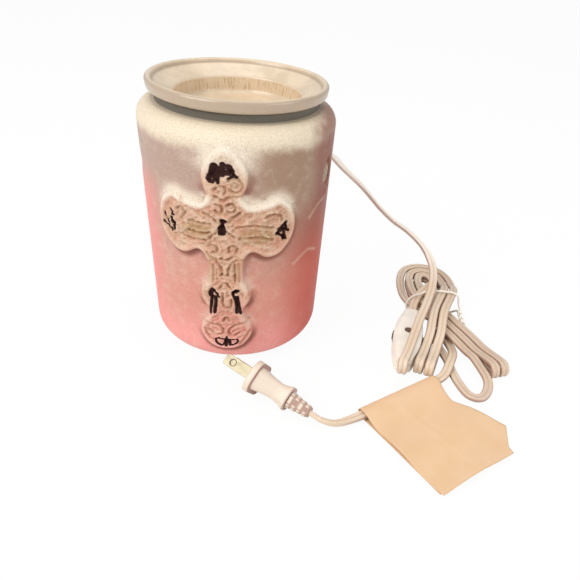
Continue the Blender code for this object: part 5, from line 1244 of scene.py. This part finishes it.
# Knots of the tail, from under the crossing to the tag and on to the plug
TAIL_START = np.array([
    (126.2, -7.8, 1.7), (129.6, -4.2, 1.7), (133.0, -8.4, 1.7), (133.6, -15.6, 1.7),
    (134.8, -23.6, 2.3), (133.6, -31.6, 4.3), (130.6, -39.6, 5.2), (127.4, -47.0, 4.4),
    (124.4, -51.6, 3.6), (119.0, -55.9, 3.2), (108.0, -63.6, 3.2), (92.0, -74.8, 3.2),
    (80.0, -83.2, 3.2), (72.0, -88.4, 3.1), (64.0, -92.6, 3.2), (58.4, -93.6, 3.9),
])


def switch_frame():
    """A frame under the switch's middle whose X runs along it."""
    return Matrix.Translation(SWITCH_CENTRE) @ Matrix.Rotation(math.radians(SWITCH_TURN), 4, "Z")


def plug_frame():
    """A frame on the plug's front face: X runs forwards along the blades, Y from one blade to the other."""
    ahead = -PLUG_BACKWARDS.normalized()
    across = (PLUG_ACROSS - PLUG_ACROSS.dot(ahead) * ahead).normalized()
    turn = Matrix((ahead, across, ahead.cross(across))).transposed()
    return Matrix.Translation(PLUG_FACE) @ turn.to_4x4()


def plug_end(distance):
    """A point in the plug's middle line at a distance behind its relief."""
    return np.array(plug_frame() @ Vector((-(PLUG_LENGTH + FIT + RELIEF_LENGTH + distance), 0, 0)))


def switch_side(side, distance):
    """A point at the height of the cord's mouth, at a distance outside the switch's end; side is -1 or 1."""
    return np.array(switch_frame() @ Vector((side * (SWITCH_LENGTH / 2 + distance), 0, SWITCH_HEIGHT / 2)))


def half_turn(centre, ahead, radius, start, end, count):
    """Points on an upright arc; 0 degrees points ahead and 90 up."""
    up = np.array([0.0, 0.0, 1.0])
    turns = np.radians(np.linspace(start, end, count))
    return [centre + radius * (math.cos(t) * ahead + math.sin(t) * up) for t in turns]


def cord_length(points):
    return float(np.linalg.norm(np.diff(points, axis=0), axis=1).sum())


class Band:
    """The line that the hank's laps follow side by side, in two layers."""

    def __init__(self):
        self.line = smooth_route(BAND_LINE * MM, 1.0 * MM)
        level = self.line[:, :2]
        self.along = np.r_[0, np.cumsum(np.linalg.norm(np.diff(level, axis=0), axis=1))]
        ahead = directions(np.c_[level, np.zeros(len(level))])
        self.left = np.c_[-ahead[:, 1], ahead[:, 0], np.zeros(len(level))]
        self.ahead = ahead
        self.length = self.along[-1]

    def at(self, row):
        """How far along the band a row of BAND_LINE lies."""
        return float(self.along[np.argmin(np.linalg.norm(self.line - BAND_LINE[row] * MM, axis=1))])

    def lap(self, marks, lane, layer):
        """Points and wide-side directions of a lap at marks; lane and layer may change along it."""
        marks = np.array(marks)
        lane = np.broadcast_to(lane, marks.shape)
        layer = np.broadcast_to(layer, marks.shape)
        middle = np.stack([np.interp(marks, self.along, self.line[:, k]) for k in range(3)], 1)
        left = np.stack([np.interp(marks, self.along, self.left[:, k]) for k in range(3)], 1)
        ease = smooth(np.minimum(marks, self.length - marks), 0.0, HANK_FOLD_REACH)
        half = HANK_FOLD + (HANK_LAYER - HANK_FOLD) * ease
        points = middle + (lane * HANK_PITCH)[:, None] * left
        points[:, 2] += layer * half
        return points, left


def ease_between(marks, start, end, first, last):
    return first + (last - first) * smooth(np.array(marks), start, end)


def hank_route():
    """One unbroken line: five laps along the band, a loose loop, and folds between the laps at the lobes."""
    band = Band()
    fine = 1.5 * MM
    up_marks = np.arange(0, band.length, fine)
    crossing = band.at(5)
    ring = band.at(8)
    points = []
    across = []

    def add(more, sides):
        points.append(np.array(more))
        across.append(np.broadcast_to(sides, np.array(more).shape))

    def fold(lane, at_right, downwards):
        mark = band.length if at_right else 0.0
        top = band.lap([mark], lane, 0.0)
        ahead = band.ahead[-1] if at_right else -band.ahead[0]
        turn = half_turn(top[0][0], ahead, HANK_FOLD, 80, -80, 15)
        add(turn if downwards else turn[::-1], top[1][0])

    start = switch_side(1, FIT)
    straight = switch_side(1, FIT + CORD_WIDTH)
    joined = band.lap([ring, ring + 6 * MM], 1.0, 1.0)[0]
    knots = [start, switch_side(1, FIT + CORD_WIDTH / 2), straight, *FIRST_LAP * MM, *joined]
    route = smooth_route(knots, fine)
    keep = np.argmin(np.linalg.norm(route - joined[0], axis=1))
    add(route[:keep], flat_across(route)[:keep])
    marks = up_marks[up_marks > ring]
    add(*band.lap(marks, 1.0, 1.0))
    fold(1.0, True, True)
    lane_in = ease_between(up_marks, crossing - LANE_CHANGE_START, ring - LANE_CHANGE_END, 0.5, 1.0)
    add(*(row[::-1] for row in band.lap(up_marks, lane_in, -1.0)))
    fold(0.5, False, False)
    lane_out = ease_between(up_marks, crossing - LANE_CHANGE_START, ring - LANE_CHANGE_END, 0.5, 0.0)
    add(*band.lap(up_marks, lane_out, 1.0))
    fold(0.0, True, True)
    add(*(row[::-1] for row in band.lap(up_marks, lane_in - 1.0, -1.0)))
    fold(-0.5, False, False)
    dip = ease_between(up_marks, band.at(12), band.at(14), 1.0, -1.0)
    rise = ease_between(up_marks, band.at(17) + 1 * MM, band.at(19), 0.0, 2.0)
    lap, side = band.lap(up_marks, lane_out - 1.0, dip + rise)
    leave = np.searchsorted(up_marks, band.at(23))
    add(lap[:leave], side[:leave])
    last = LAST_LOOP * MM
    loop = smooth_route([lap[leave - 5], lap[leave - 1], *last, last[-1] + LOOP_HEADING * CORD_WIDTH], fine)
    keep = np.argmin(np.linalg.norm(loop - lap[leave - 1], axis=1)) + 1
    add(loop[keep:], flat_across(loop)[keep:])
    return np.vstack(points), np.vstack(across)


def tail_route(start):
    """The cord from the end of the loose loop, through the tag, into the plug's relief."""
    begin = [start + LOOP_HEADING * d for d in (FIT, FIT + CORD_WIDTH / 2, FIT + CORD_WIDTH)]
    end = [plug_end(FIT + CORD_WIDTH), plug_end(FIT + CORD_WIDTH / 2), plug_end(FIT), plug_end(-2 * MM)]
    dense = smooth_route([*begin, *TAIL_START * MM, *end], 1.0 * MM)
    across = flat_across(dense)
    plug_side = np.array(plug_frame().to_3x3() @ Vector((0, 1, 0)))
    left = np.linalg.norm(dense - end[-1], axis=1)
    share = np.clip((PLUG_TWIST_START - left) / PLUG_TWIST_LENGTH, 0, 1)
    share[: len(dense) // 2] = 0
    return dense, across * (1 - share)[:, None] + plug_side * share[:, None]


def lead_route():
    """The cord from the boot through the air to the switch, with a fold down into its end."""
    start = [np.array(out_of_jar(BOOT_LENGTH + d * MM)) for d in (-1.5, FIT / MM, 2.9)]
    ahead = np.array(switch_frame().to_3x3() @ Vector((-1, 0, 0)))
    middle = switch_side(-1, FIT + CORD_WIDTH)
    turn_centre = middle + np.array([0, 0, LEAD_TURN_RADIUS])
    turn = half_turn(turn_centre, ahead, LEAD_TURN_RADIUS, 75, -75, 9)
    ends = [switch_side(-1, FIT + 2.8 * MM), switch_side(-1, FIT), switch_side(-1, -1.5 * MM)]
    dense = smooth_route([*start, *LEAD_ROUTE * MM, *turn, middle, *ends], 1.0 * MM)
    across = flat_across(dense)
    side = np.cross(ahead, np.array([0, 0, 1.0]))
    last = np.argmax(np.linalg.norm(dense - turn_centre, axis=1) < LEAD_TURN_REACH)
    if (across[last - 1] * side).sum() < 0:
        side = -side
    across[last:] = side
    return dense, across


def swept(points, section, across, up):
    """The rings of a section at each point of a route."""
    return points[:, None] + section[None, :, 0:1] * across[:, None] + section[None, :, 1:2] * up[:, None]


def cord_section():
    """The flat twin cord's section: two round wires side by side with a groove between them."""
    radius = CORD_THICKNESS / 2
    offset = (CORD_WIDTH - CORD_THICKNESS) / 2
    waist = radius - settings().cord.groove
    right = arc(offset, 0.0, radius, -118, 118, 13)
    left = [(-u, -v) for u, v in right]
    return [*right, (0.0, waist), *left, (0.0, -waist)]


def cord_mesh(name, points, across):
    """The cord's section swept along its route, its wide side following the across directions."""
    points = np.array(points)
    across = square_to_travel(points, across)
    up = np.cross(directions(points), across)
    section = np.array(cord_section())
    # Painted shade along the narrow sides and in the groove
    side = smooth(np.abs(section[:, 0]) / CORD_WIDTH, 0.38, 0.5)
    edge = np.maximum(side, 0.5 * (1 - smooth(np.abs(section[:, 0]) / MM, 0.1, 0.6)))
    return skin(name, swept(points, section, across, up), edge=np.tile(edge, len(points)))


def eased(points, across, rounds=2):
    """Takes the small corners out of a route and keeps its ends."""
    points, across = points.copy(), across.copy()
    for _ in range(rounds):
        points[1:-1] = (points[:-2] + 2 * points[1:-1] + points[2:]) / 4
        across[1:-1] = (across[:-2] + 2 * across[1:-1] + across[2:]) / 4
    return points, across


def make_cords():
    points, across = lead_route()
    lead = piece("lead", cord_mesh("lead", points, across), "warmer", "cord_vinyl", ["cord_lead"])
    cord_length(points)
    hank, hank_across = hank_route()
    tail, tail_across = tail_route(hank[-1])
    points, across = eased(np.vstack([hank, tail[1:]]), np.vstack([hank_across, tail_across[1:]]))
    data = cord_mesh("long_cord", points, across)
    long_cord = piece("long_cord", data, "warmer", "cord_vinyl", ["cord_hank", "cord_tail"])
    cord_length(points)


def switch_half_width(x):
    """Widest over the wheel and narrow where the cord enters."""
    bulge = np.cos(math.pi / 2 * np.abs(x) / (SWITCH_LENGTH / 2)).clip(0, 1) ** 0.9
    return SWITCH_END_WIDTH / 2 + (SWITCH_WIDTH - SWITCH_END_WIDTH) / 2 * bulge


def switch_outline():
    """The housing's outline from above, with rounded ends."""
    half = SWITCH_LENGTH / 2
    inner = half - 3.2 * MM
    upper = [(half, SWITCH_END_WIDTH / 2, 1.5 * MM)]
    upper += [(x, switch_half_width(x), 0.0) for x in np.linspace(inner, -inner, 31)]
    upper.append((-half, SWITCH_END_WIDTH / 2, 1.5 * MM))
    return filleted(upper + [(x, -y, r) for x, y, r in reversed(upper)], True, 1.2 * MM)


def switch_shell(name, upper):
    """One half of the switch's housing, with a rounded edge and a small step at the joint."""
    x, y = switch_outline().T
    middle = SWITCH_HEIGHT / 2
    rounding = 3.2 * MM if upper else 1.8 * MM
    levels = [(FIT / 2, 0.35 * MM), (FIT / 2 + 0.3 * MM, 0.05 * MM), (FIT / 2 + 0.5 * MM, 0.0)]
    for t in np.radians(np.linspace(0, 90, 9)):
        levels.append((middle - rounding + rounding * math.sin(t), rounding * (1 - math.cos(t))))
    rows = []
    for height, inset in levels:
        z = middle + height if upper else middle - height
        shorter = 1 - inset / (SWITCH_LENGTH / 2)
        narrower = 1 - inset / switch_half_width(x)
        rows.append(np.c_[x * shorter, y * narrower, np.full(len(x), z)])
    return skin(name, rows, switch_frame())


# One tooth of the wheel: share of its pitch, and millimetres below the wheel's radius
TOOTH = [
    (0.05, 0.15), (0.12, 0.0), (0.34, 0.0), (0.42, 0.15), (0.5, 0.45), (0.58, 0.5), (0.9, 0.5), (0.97, 0.45),
]


def wheel_outline():
    """The wheel's toothed rim, seen from above."""
    points = []
    for i in range(WHEEL_TEETH):
        for part, drop in TOOTH:
            turn = 2 * math.pi * (i + part) / WHEEL_TEETH
            radius = WHEEL_RADIUS - drop * MM
            points.append((radius * math.cos(turn), radius * math.sin(turn)))
    return np.array(points)


def make_switch():
    place = switch_frame()
    middle = Matrix.Translation((0, 0, SWITCH_HEIGHT / 2))
    half_pocket = WHEEL_THICKNESS / 2 + FIT
    pocket = circle(WHEEL_RADIUS + 2 * FIT, 96)
    bore = circle(PIN_RADIUS + FIT, 32)
    seat_z = PIN_SEAT_Z - FIT
    for name, upper in (("switch_top", True), ("switch_bottom", False)):
        cutters = [prism(pocket, -half_pocket, half_pocket, place @ middle)]
        cutters.append(prism(bore, 1.5 * MM, 14 * MM, place))
        if upper:
            cutters.append(prism(circle(PIN_HEAD_RADIUS + FIT, 40), seat_z, seat_z + 4 * MM, place))
        for side in (-SCREW_OFFSET, SCREW_OFFSET):
            at = place @ Matrix.Translation((side, 0, 0))
            cutters.append(prism(circle(SCREW_RADIUS + FIT, 24), -1 * MM, 11.5 * MM, at))
            if not upper:
                cutters.append(prism(circle(SCREW_HEAD_RADIUS + FIT, 32), -1 * MM, 3 * MM, at))
        data = subtract(switch_shell(name, upper), cutters)
        node = "switch_cover" if upper else "switch_base"
        piece(name, data, "warmer", "cream_plastic", [node], 42)
    half = WHEEL_THICKNESS / 2
    rim = wheel_outline()
    levels = [(-half, 0.4), (-half + 0.12 * MM, 0.12), (-half + 0.4 * MM, 0.0)]
    levels += [(-z, inset) for z, inset in reversed(levels)]
    rows = [np.c_[rim * (1 - inset * MM / WHEEL_RADIUS), np.full(len(rim), z)] for z, inset in levels]
    wheel = subtract(skin("wheel", rows), [prism(bore, -4 * MM, 4 * MM, Matrix.Identity(4))])
    wheel.transform(place @ middle)
    piece("wheel", wheel, "wheel", "brown_plastic", ["switch_wheel"], 40)
    pin = [(0, SWITCH_HEIGHT, 0.0), (PIN_HEAD_RADIUS, SWITCH_HEIGHT, 0.5 * MM)]
    pin += [(PIN_HEAD_RADIUS, PIN_SEAT_Z, 0.1 * MM), (PIN_RADIUS, PIN_SEAT_Z, 0.1 * MM)]
    pin += [(PIN_RADIUS, PIN_END_Z, 0.3 * MM), (0, PIN_END_Z, 0.0)]
    data = turned("pin", filleted(pin, False, 0.3 * MM), 40, matrix=place)
    piece("pin", data, "warmer", "brown_plastic", ["switch_pin"], 50)
    dress("zinc_steel", ["switch_screw_1", "switch_screw_2"], 0.1 * MM)


def oval_section(width, height, steps=9):
    """A rounded rectangle as points in a plane, the same number for every size."""
    corner = 0.32 * min(width, height)
    points = []
    for quarter in range(4):
        cy = (width / 2 - corner) * (1, -1, -1, 1)[quarter]
        cz = (height / 2 - corner) * (1, 1, -1, -1)[quarter]
        points += arc(cy, cz, corner, 90 * quarter, 90 * quarter + 90, steps)
    return points


def loft(name, stations, **values):
    """Joins ovals, each given by its distance along -X, its width and its height, into one closed solid."""
    rows = [[(-back, y, z) for y, z in oval_section(width, height)] for back, width, height in stations]
    values = {key: np.repeat(numbers, len(rows[0])) for key, numbers in values.items()}
    return skin(name, rows, plug_frame(), **values)


def add_to(data, other, **values):
    """Puts another mesh into a mesh, with the stored numbers given for all of its points."""
    for key, number in values.items():
        for mesh, filling in ((data, 0.0), (other, number)):
            if key not in mesh.attributes:
                stored = mesh.attributes.new(key, "FLOAT", "POINT").data
                stored.foreach_set("value", np.full(len(mesh.vertices), filling, np.float32))
    shape = bmesh.new()
    shape.from_mesh(data)
    shape.from_mesh(other)
    shape.to_mesh(data)
    shape.free()


# The plug from its face to its back: millimetres back, and what its width and height gain on their base
FLANGE = [
    (0.0, -1.0, -1.0), (0.15, -0.4, -0.4), (0.5, 0.0, 0.0),
    (3.1, 0.0, 0.0), (3.45, -0.4, -0.4), (3.6, -1.0, -1.0),
]
WAIST = [
    (3.75, 6.3, 3.1), (4.2, 5.9, 2.7), (6.6, 4.5, 1.8), (9.4, 3.0, 1.0), (12.0, 1.4, 0.35),
    (14.6, 0.0, 0.0), (16.4, -0.6, 0.1), (18.4, -0.8, 0.7), (20.2, -0.6, 1.6), (21.0, -0.4, 2.5),
    (21.6, -0.2, 3.3), (22.5, -0.2, 3.4), (22.85, -0.6, 3.0), (23.0, -1.2, 2.4),
]

# One rib of the relief: share of its pitch, and millimetres that it stands out
RIB = [(0.0, 0.0), (0.07, 0.5), (0.14, 0.75), (0.22, 0.8), (0.48, 0.8), (0.56, 0.7), (0.62, 0.4), (0.68, 0.0)]


def plug_stations():
    """The plug's ovals: a flange, a tapered grip and a ring, with soft edges."""
    made = []
    for knots, width, height in ((FLANGE, PLUG_WIDTH, PLUG_HEIGHT), (WAIST, WAIST_WIDTH, WAIST_HEIGHT)):
        made += [(back * MM, width + wide * MM, height + high * MM) for back, wide, high in knots]
    return made


def make_relief():
    """The plug's ribbed strain relief, whose ribs are broken by notches that step from rib to rib."""
    start = PLUG_LENGTH + FIT
    root = (9.0 * MM, 6.4 * MM)
    front = (10.6 * MM, 8.2 * MM)
    end = (CORD_WIDTH + 1.6 * MM, CORD_THICKNESS + 2.8 * MM)
    stations = [(PLUG_LENGTH - RELIEF_ROOT, *root, 0.0, 0), (start - 0.01 * MM, *root, 0.0, 0)]
    for rib in range(RELIEF_RIBS):
        for part, swell in RIB:
            t = (rib + part) / RELIEF_RIBS
            size = [one + (two - one) * t for one, two in zip(front, end)]
            stations.append((start + RELIEF_LENGTH * t, *size, swell * MM, rib))
    stations.append((start + RELIEF_LENGTH - 0.3 * MM, end[0] + 0.1 * MM, end[1] + 0.1 * MM, 0.0, 0))
    stations.append((start + RELIEF_LENGTH, end[0] - 0.4 * MM, end[1] - 0.4 * MM, 0.0, 0))
    rows = []
    edge = []
    for back, width, height, swell, rib in stations:
        inner = np.array(oval_section(width, height, 24))
        outer = np.array(oval_section(width + swell, height + swell, 24))
        turn = np.linspace(0.0, 2 * math.pi, len(inner), endpoint=False) * RELIEF_NOTCHES + math.pi * rib
        share = np.clip(0.5 + 2.2 * (np.cos(turn) + 0.55), 0.0, 1.0)[:, None]
        ring = inner * (1 - share) + outer * share
        rows.append(np.c_[np.full(len(ring), -back), ring])
        # Painted shade in the notches and between the ribs
        edge.append(0.7 - 0.7 * share[:, 0] * min(1.0, swell / (0.6 * MM)))
    return skin("relief", rows, plug_frame(), edge=np.concatenate(edge))


def make_blade(number, side):
    """A flat blade with soft edges, and a ring of painted shade round its hole."""
    half = BLADE_WIDTH / 2
    corners = [(FIT, -half, 0.0), (BLADE_LENGTH, -half, BLADE_TIP_ROUNDING)]
    corners += [(BLADE_LENGTH, half, BLADE_TIP_ROUNDING), (FIT, half, 0.0)]
    flat = filleted(corners, True, 0.8 * MM)
    inwards = flat.mean(axis=0) - flat
    inwards /= np.linalg.norm(inwards, axis=1)[:, None]
    face = BLADE_THICKNESS / 2
    edge = 0.25 * MM
    levels = ((-face, 0.3), (-face + edge, 0.0), (face - edge, 0.0), (face, 0.3))
    rings = [np.c_[flat + inwards * inset * MM, np.full(len(flat), z)] for z, inset in levels]
    hole_at = Matrix.Translation((BLADE_LENGTH - BLADE_HOLE_FROM_TIP, 0, 0))
    hole = prism(circle(BLADE_HOLE_RADIUS, 32), -2 * MM, 2 * MM, hole_at)
    blade = subtract(skin(f"blade_{number}", rings), [hole])
    for level in (-face, face):
        ring = prism(circle(BLADE_RING_RADIUS, 32), level - 0.06 * MM, level + 0.06 * MM, hole_at)
        # Ring of painted shade round the hole, on both faces
        add_to(blade, subtract(ring, [hole]), edge=1.0)
    upright = Matrix.Rotation(math.radians(90.0), 4, "X")
    blade.transform(plug_frame() @ Matrix.Translation((0, side * BLADE_SPACING / 2, 0)) @ upright)
    piece(f"blade_{number}", blade, "warmer", "nickel", [f"plug_blade_{number}"], 30)


def make_plug():
    root = [(PLUG_LENGTH - RELIEF_ROOT - FIT, 9.6 * MM, 7.0 * MM), (PLUG_LENGTH + 4 * MM, 9.6 * MM, 7.0 * MM)]
    stations = plug_stations()
    back = np.array([station[0] for station in stations]) / MM
    # Painted shade behind the flange and round the back end
    edge = np.exp(-(((back - 3.65) / 0.25) ** 2)) + 0.7 * smooth(back, 22.6, 22.95)
    body = subtract(loft("plug", stations, edge=edge), [loft("relief_pocket", root)])
    piece("plug", body, "warmer", "cream_plastic", ["plug_body"], 50)
    piece("relief", make_relief(), "warmer", "cream_plastic", ["plug_relief"], 60)
    for number, side in enumerate((-1, 1), 1):
        make_blade(number, side)


# Route of the twist tie round the waist of the hank, and the axis of its twisted ends
TIE_ROUTE = np.array([
    (144.2, 15.6, 5.4), (137.0, 17.6, 1.3), (129.0, 18.2, 1.0), (120.0, 18.8, 1.0),
    (113.6, 19.2, 1.2), (111.0, 19.4, 3.6), (111.3, 19.6, 8.6), (114.6, 19.8, 12.4),
    (118.6, 20.0, 14.0), (123.6, 20.2, 16.4), (128.6, 20.2, 17.2), (134.6, 20.0, 17.3),
    (140.8, 19.4, 17.1), (144.6, 18.6, 14.6), (145.4, 17.4, 10.4),
])
TIE_TWIST_START = Vector((145.6, 14.0, 6.6)) * MM
TIE_TWIST_END = Vector((147.0, 2.0, 3.2)) * MM


def make_tie():
    """A wire once round the hank, whose two ends are twisted together."""
    axis = (TIE_TWIST_END - TIE_TWIST_START).normalized()
    one = axis.orthogonal().normalized()
    two = axis.cross(one)
    reach = (TIE_TWIST_END - TIE_TWIST_START).length
    radius = TIE_RADIUS + 0.35 * MM

    def twist(turned_by):
        rows = []
        for t in np.linspace(0, 1, 15):
            angle = 2 * math.pi * TIE_TURNS * t + turned_by
            off = one * math.cos(angle) + two * math.sin(angle)
            rows.append(np.array(TIE_TWIST_START + axis * reach * t + off * radius))
        return rows

    first = TIE_ROUTE * MM
    best = min((0.5 * math.pi * k for k in range(4)), key=lambda a: np.linalg.norm(twist(a)[0] - first[0]))
    points = smooth_route(twist(best)[::-1] + list(first) + twist(best + math.pi), 0.7 * MM)
    along = directions(points)
    side = np.cross(along, np.array([0.3, 0.2, 0.93]))
    side /= np.linalg.norm(side, axis=1)[:, None]
    up = np.cross(along, side)
    rings = swept(points, np.array(circle(TIE_RADIUS, 14)), side, up)
    piece("tie", skin("tie", rings), "warmer", "cream_plastic", ["hank_tie"], 60)


# The tag's section from its lower free edge round the cord to its upper one: distance out, and height
TAG_SECTION = [
    (58.0, 0.5), (44.0, 0.5), (30.0, 0.5), (16.0, 0.5), (6.0, 0.5), (0.5, 0.6), (-2.6, 1.2),
    (-4.0, 3.2), (-2.8, 5.2), (0.0, 5.8), (3.2, 5.4), (7.0, 3.9), (12.0, 2.6), (18.0, 2.4),
    (26.0, 3.0), (34.0, 3.4), (42.0, 2.8), (50.0, 2.6), (60.5, 3.6),
]


def tag_ends(out, upper):
    """Where the tag starts and stops along the cord at a distance out from it."""
    if upper:
        right = np.interp(out, [0, 17, 44.9, 56.5, 61.7], [53.6, 50.4, 63.0, 51.5, 50.0])
        left = np.interp(out, [0, 61.7], [0.0, 0.8])
    else:
        right = np.interp(out, [0, 20, 60], [53.2, 48.0, 44.0])
        left = np.interp(out, [0, 20, 60], [0.4, 1.0, 1.6])
    return left, right


def make_tag():
    """A blank paper tag folded once round the cord, with a slight wave in its free half."""
    section = smooth_line(TAG_SECTION, 5)
    turn = len(section) * 8 // len(TAG_SECTION)
    steps = 48
    rows = []
    for number, (out, height) in enumerate(section):
        upper = number >= turn
        left, right = tag_ends(max(out, 0.0), upper)
        for t in np.linspace(0, 1, steps + 1):
            along = left + (right - left) * t
            wave = 0.9 * math.sin(along / 9.0 + out / 11.0) * min(max(out - 8, 0) / 20, 1) if upper else 0.0
            crease = 0.25 * math.exp(-(((along - 22 - out * 0.1) / 1.6) ** 2)) * (1 if upper else 0)
            spot = TAG_CORNER + TAG_ALONG * along * MM + TAG_OUT * out * MM
            rows.append((spot.x, spot.y, (height + wave + crease) * MM))
    data = mesh_from("tag", rows, grid_faces(len(section), steps + 1, close_columns=False))
    tag = piece("tag", data, "warmer", "tag_paper", ["cord_tag"], 60)
    sheet = tag.modifiers.new("Sheet", "SOLIDIFY")
    sheet.thickness = TAG_SHEET
    sheet.offset = 0.0
    sheet.use_even_offset = True


def area_light(name, place, size, power, tone=(1.0, 1.0, 1.0)):
    data = bpy.data.lights.new(name, "AREA")
    data.shape = "DISK"
    data.size = size
    data.energy = power
    data.color = tone
    lamp = placed(name, data)
    lamp.location = place
    lamp.rotation_euler = (LIGHT_TARGET - Vector(place)).to_track_quat("-Z", "Y").to_euler()


def make_stage():
    """A plain pale floor, a white surround, soft lights and the camera."""
    look = settings().stage
    shape = bmesh.new()
    bmesh.ops.create_grid(shape, x_segments=8, y_segments=8, size=20.0)
    data = bpy.data.meshes.new("floor")
    shape.to_mesh(data)
    shape.free()
    floor = placed("floor", data)
    g = Finish("floor")
    grain = g.noise(g.place(), 4 * MM, 2.0, 0.5)
    g.surface(Base_Color=(0.90, 0.90, 0.90), Roughness=0.85 + (grain - 0.5) * 0.1)
    glow = g.node("Emission", links={"Color": (1.0, 1.0, 1.0), "Strength": 1.0})
    seen = g.node("LightPath", output="Is Camera Ray")
    mixed = g.node("MixShader", links={0: seen * look.floor_glow, 1: Signal(g, g.shader.outputs[0]), 2: glow})
    g.feed(g.tree.nodes["Material Output"].inputs["Surface"], mixed)
    data.materials.append(g.material)
    world = bpy.data.worlds.new("surround")
    world.use_nodes = True
    bpy.context.scene.world = world
    w = Graph(world.node_tree)
    ambient = (look.ambient, look.ambient, look.ambient)
    shade = w.mix(w.node("LightPath", output="Is Camera Ray"), ambient, (1.0, 1.0, 1.0))
    w.feed(world.node_tree.nodes["Background"].inputs["Color"], shade)
    area_light("key", (-0.55, -0.55, 0.75), 0.7, look.key, (1.0, 0.98, 0.95))
    area_light("fill", (0.85, -0.45, 0.45), 0.6, look.fill)
    area_light("top", (0.05, 0.15, 0.95), 0.7, look.top)
    data = bpy.data.cameras.new("camera")
    data.lens = CAMERA_LENS
    data.sensor_width = 36.0
    data.shift_x, data.shift_y = CAMERA_SHIFT
    data.clip_start = 0.01
    camera = placed("camera", data)
    turn = Matrix((CAMERA_RIGHT, CAMERA_UP, CAMERA_BACK)).transposed()
    camera.matrix_world = Matrix.Translation(CAMERA_PLACE) @ turn.to_4x4()
    bpy.context.scene.camera = camera
    bpy.context.scene.view_settings.view_transform = "Standard"


class BuildJar(bpy.types.Operator):
    """Build the glazed jar with its raised cross and vents"""

    bl_idname = "warmer.jar"
    bl_label = "Jar"

    def execute(self, context):
        make_jar()
        return {"FINISHED"}


class BuildDish(bpy.types.Operator):
    """Build the loose wax dish"""

    bl_idname = "warmer.dish"
    bl_label = "Dish"

    def execute(self, context):
        make_dish()
        return {"FINISHED"}


class BuildInside(bpy.types.Operator):
    """Finish the base plate, feet, bracket, screws and lamp holder"""

    bl_idname = "warmer.inside"
    bl_label = "Base and holder"

    def execute(self, context):
        make_inside()
        return {"FINISHED"}


class BuildLamp(bpy.types.Operator):
    """Finish the small screw lamp"""

    bl_idname = "warmer.lamp"
    bl_label = "Lamp"

    def execute(self, context):
        make_lamp()
        return {"FINISHED"}


class BuildBoot(bpy.types.Operator):
    """Build the moulded boot in the jar's wall"""

    bl_idname = "warmer.boot"
    bl_label = "Boot"

    def execute(self, context):
        make_boot()
        return {"FINISHED"}


class BuildSwitch(bpy.types.Operator):
    """Build the in-line switch and its wheel"""

    bl_idname = "warmer.switch"
    bl_label = "Switch"

    def execute(self, context):
        make_switch()
        return {"FINISHED"}


class BuildPlug(bpy.types.Operator):
    """Build the plug, its relief and its blades"""

    bl_idname = "warmer.plug"
    bl_label = "Plug"

    def execute(self, context):
        make_plug()
        return {"FINISHED"}


class BuildTie(bpy.types.Operator):
    """Build the twist tie round the hank"""

    bl_idname = "warmer.tie"
    bl_label = "Tie"

    def execute(self, context):
        make_tie()
        return {"FINISHED"}


class BuildTag(bpy.types.Operator):
    """Build the folded paper tag"""

    bl_idname = "warmer.tag"
    bl_label = "Tag"

    def execute(self, context):
        make_tag()
        return {"FINISHED"}


class BuildCords(bpy.types.Operator):
    """Build the lead, and the hank with its tail"""

    bl_idname = "warmer.cords"
    bl_label = "Cords"

    def execute(self, context):
        make_cords()
        return {"FINISHED"}


class BuildStage(bpy.types.Operator):
    """Set up the floor, the surround, the lights and the camera"""

    bl_idname = "warmer.stage"
    bl_label = "Stage"

    def execute(self, context):
        make_stage()
        return {"FINISHED"}


STEPS = [
    BuildJar,
    BuildDish,
    BuildInside,
    BuildLamp,
    BuildBoot,
    BuildSwitch,
    BuildPlug,
    BuildTie,
    BuildTag,
    BuildCords,
    BuildStage,
]


class WarmerPanel(bpy.types.Panel):
    """Lists the steps that build the wax warmer"""

    bl_idname = "VIEW3D_PT_wax_warmer"
    bl_label = "Wax warmer"
    bl_space_type = "VIEW_3D"
    bl_region_type = "UI"
    bl_category = "Warmer"

    def draw(self, context):
        for step in STEPS:
            self.layout.operator(step.bl_idname)


GROUPS = [JarSettings, DishSettings, CordSettings, StageSettings, WarmerSettings]


def register():
    for kind in (*GROUPS, *STEPS, WarmerPanel):
        bpy.utils.register_class(kind)
    bpy.types.Scene.wax_warmer = PointerProperty(
        name="Wax warmer", description="Sizes and colours of the wax warmer", type=WarmerSettings
    )


def unregister():
    del bpy.types.Scene.wax_warmer
    for kind in reversed((*GROUPS, *STEPS, WarmerPanel)):
        bpy.utils.unregister_class(kind)


def main():
    register()
    bpy.ops.warmer.jar()
    bpy.ops.warmer.dish()
    bpy.ops.warmer.inside()
    bpy.ops.warmer.lamp()
    bpy.ops.warmer.boot()
    bpy.ops.warmer.switch()
    bpy.ops.warmer.plug()
    bpy.ops.warmer.tie()
    bpy.ops.warmer.tag()
    bpy.ops.warmer.cords()
    bpy.ops.warmer.stage()


if __name__ == "__main__":
    main()
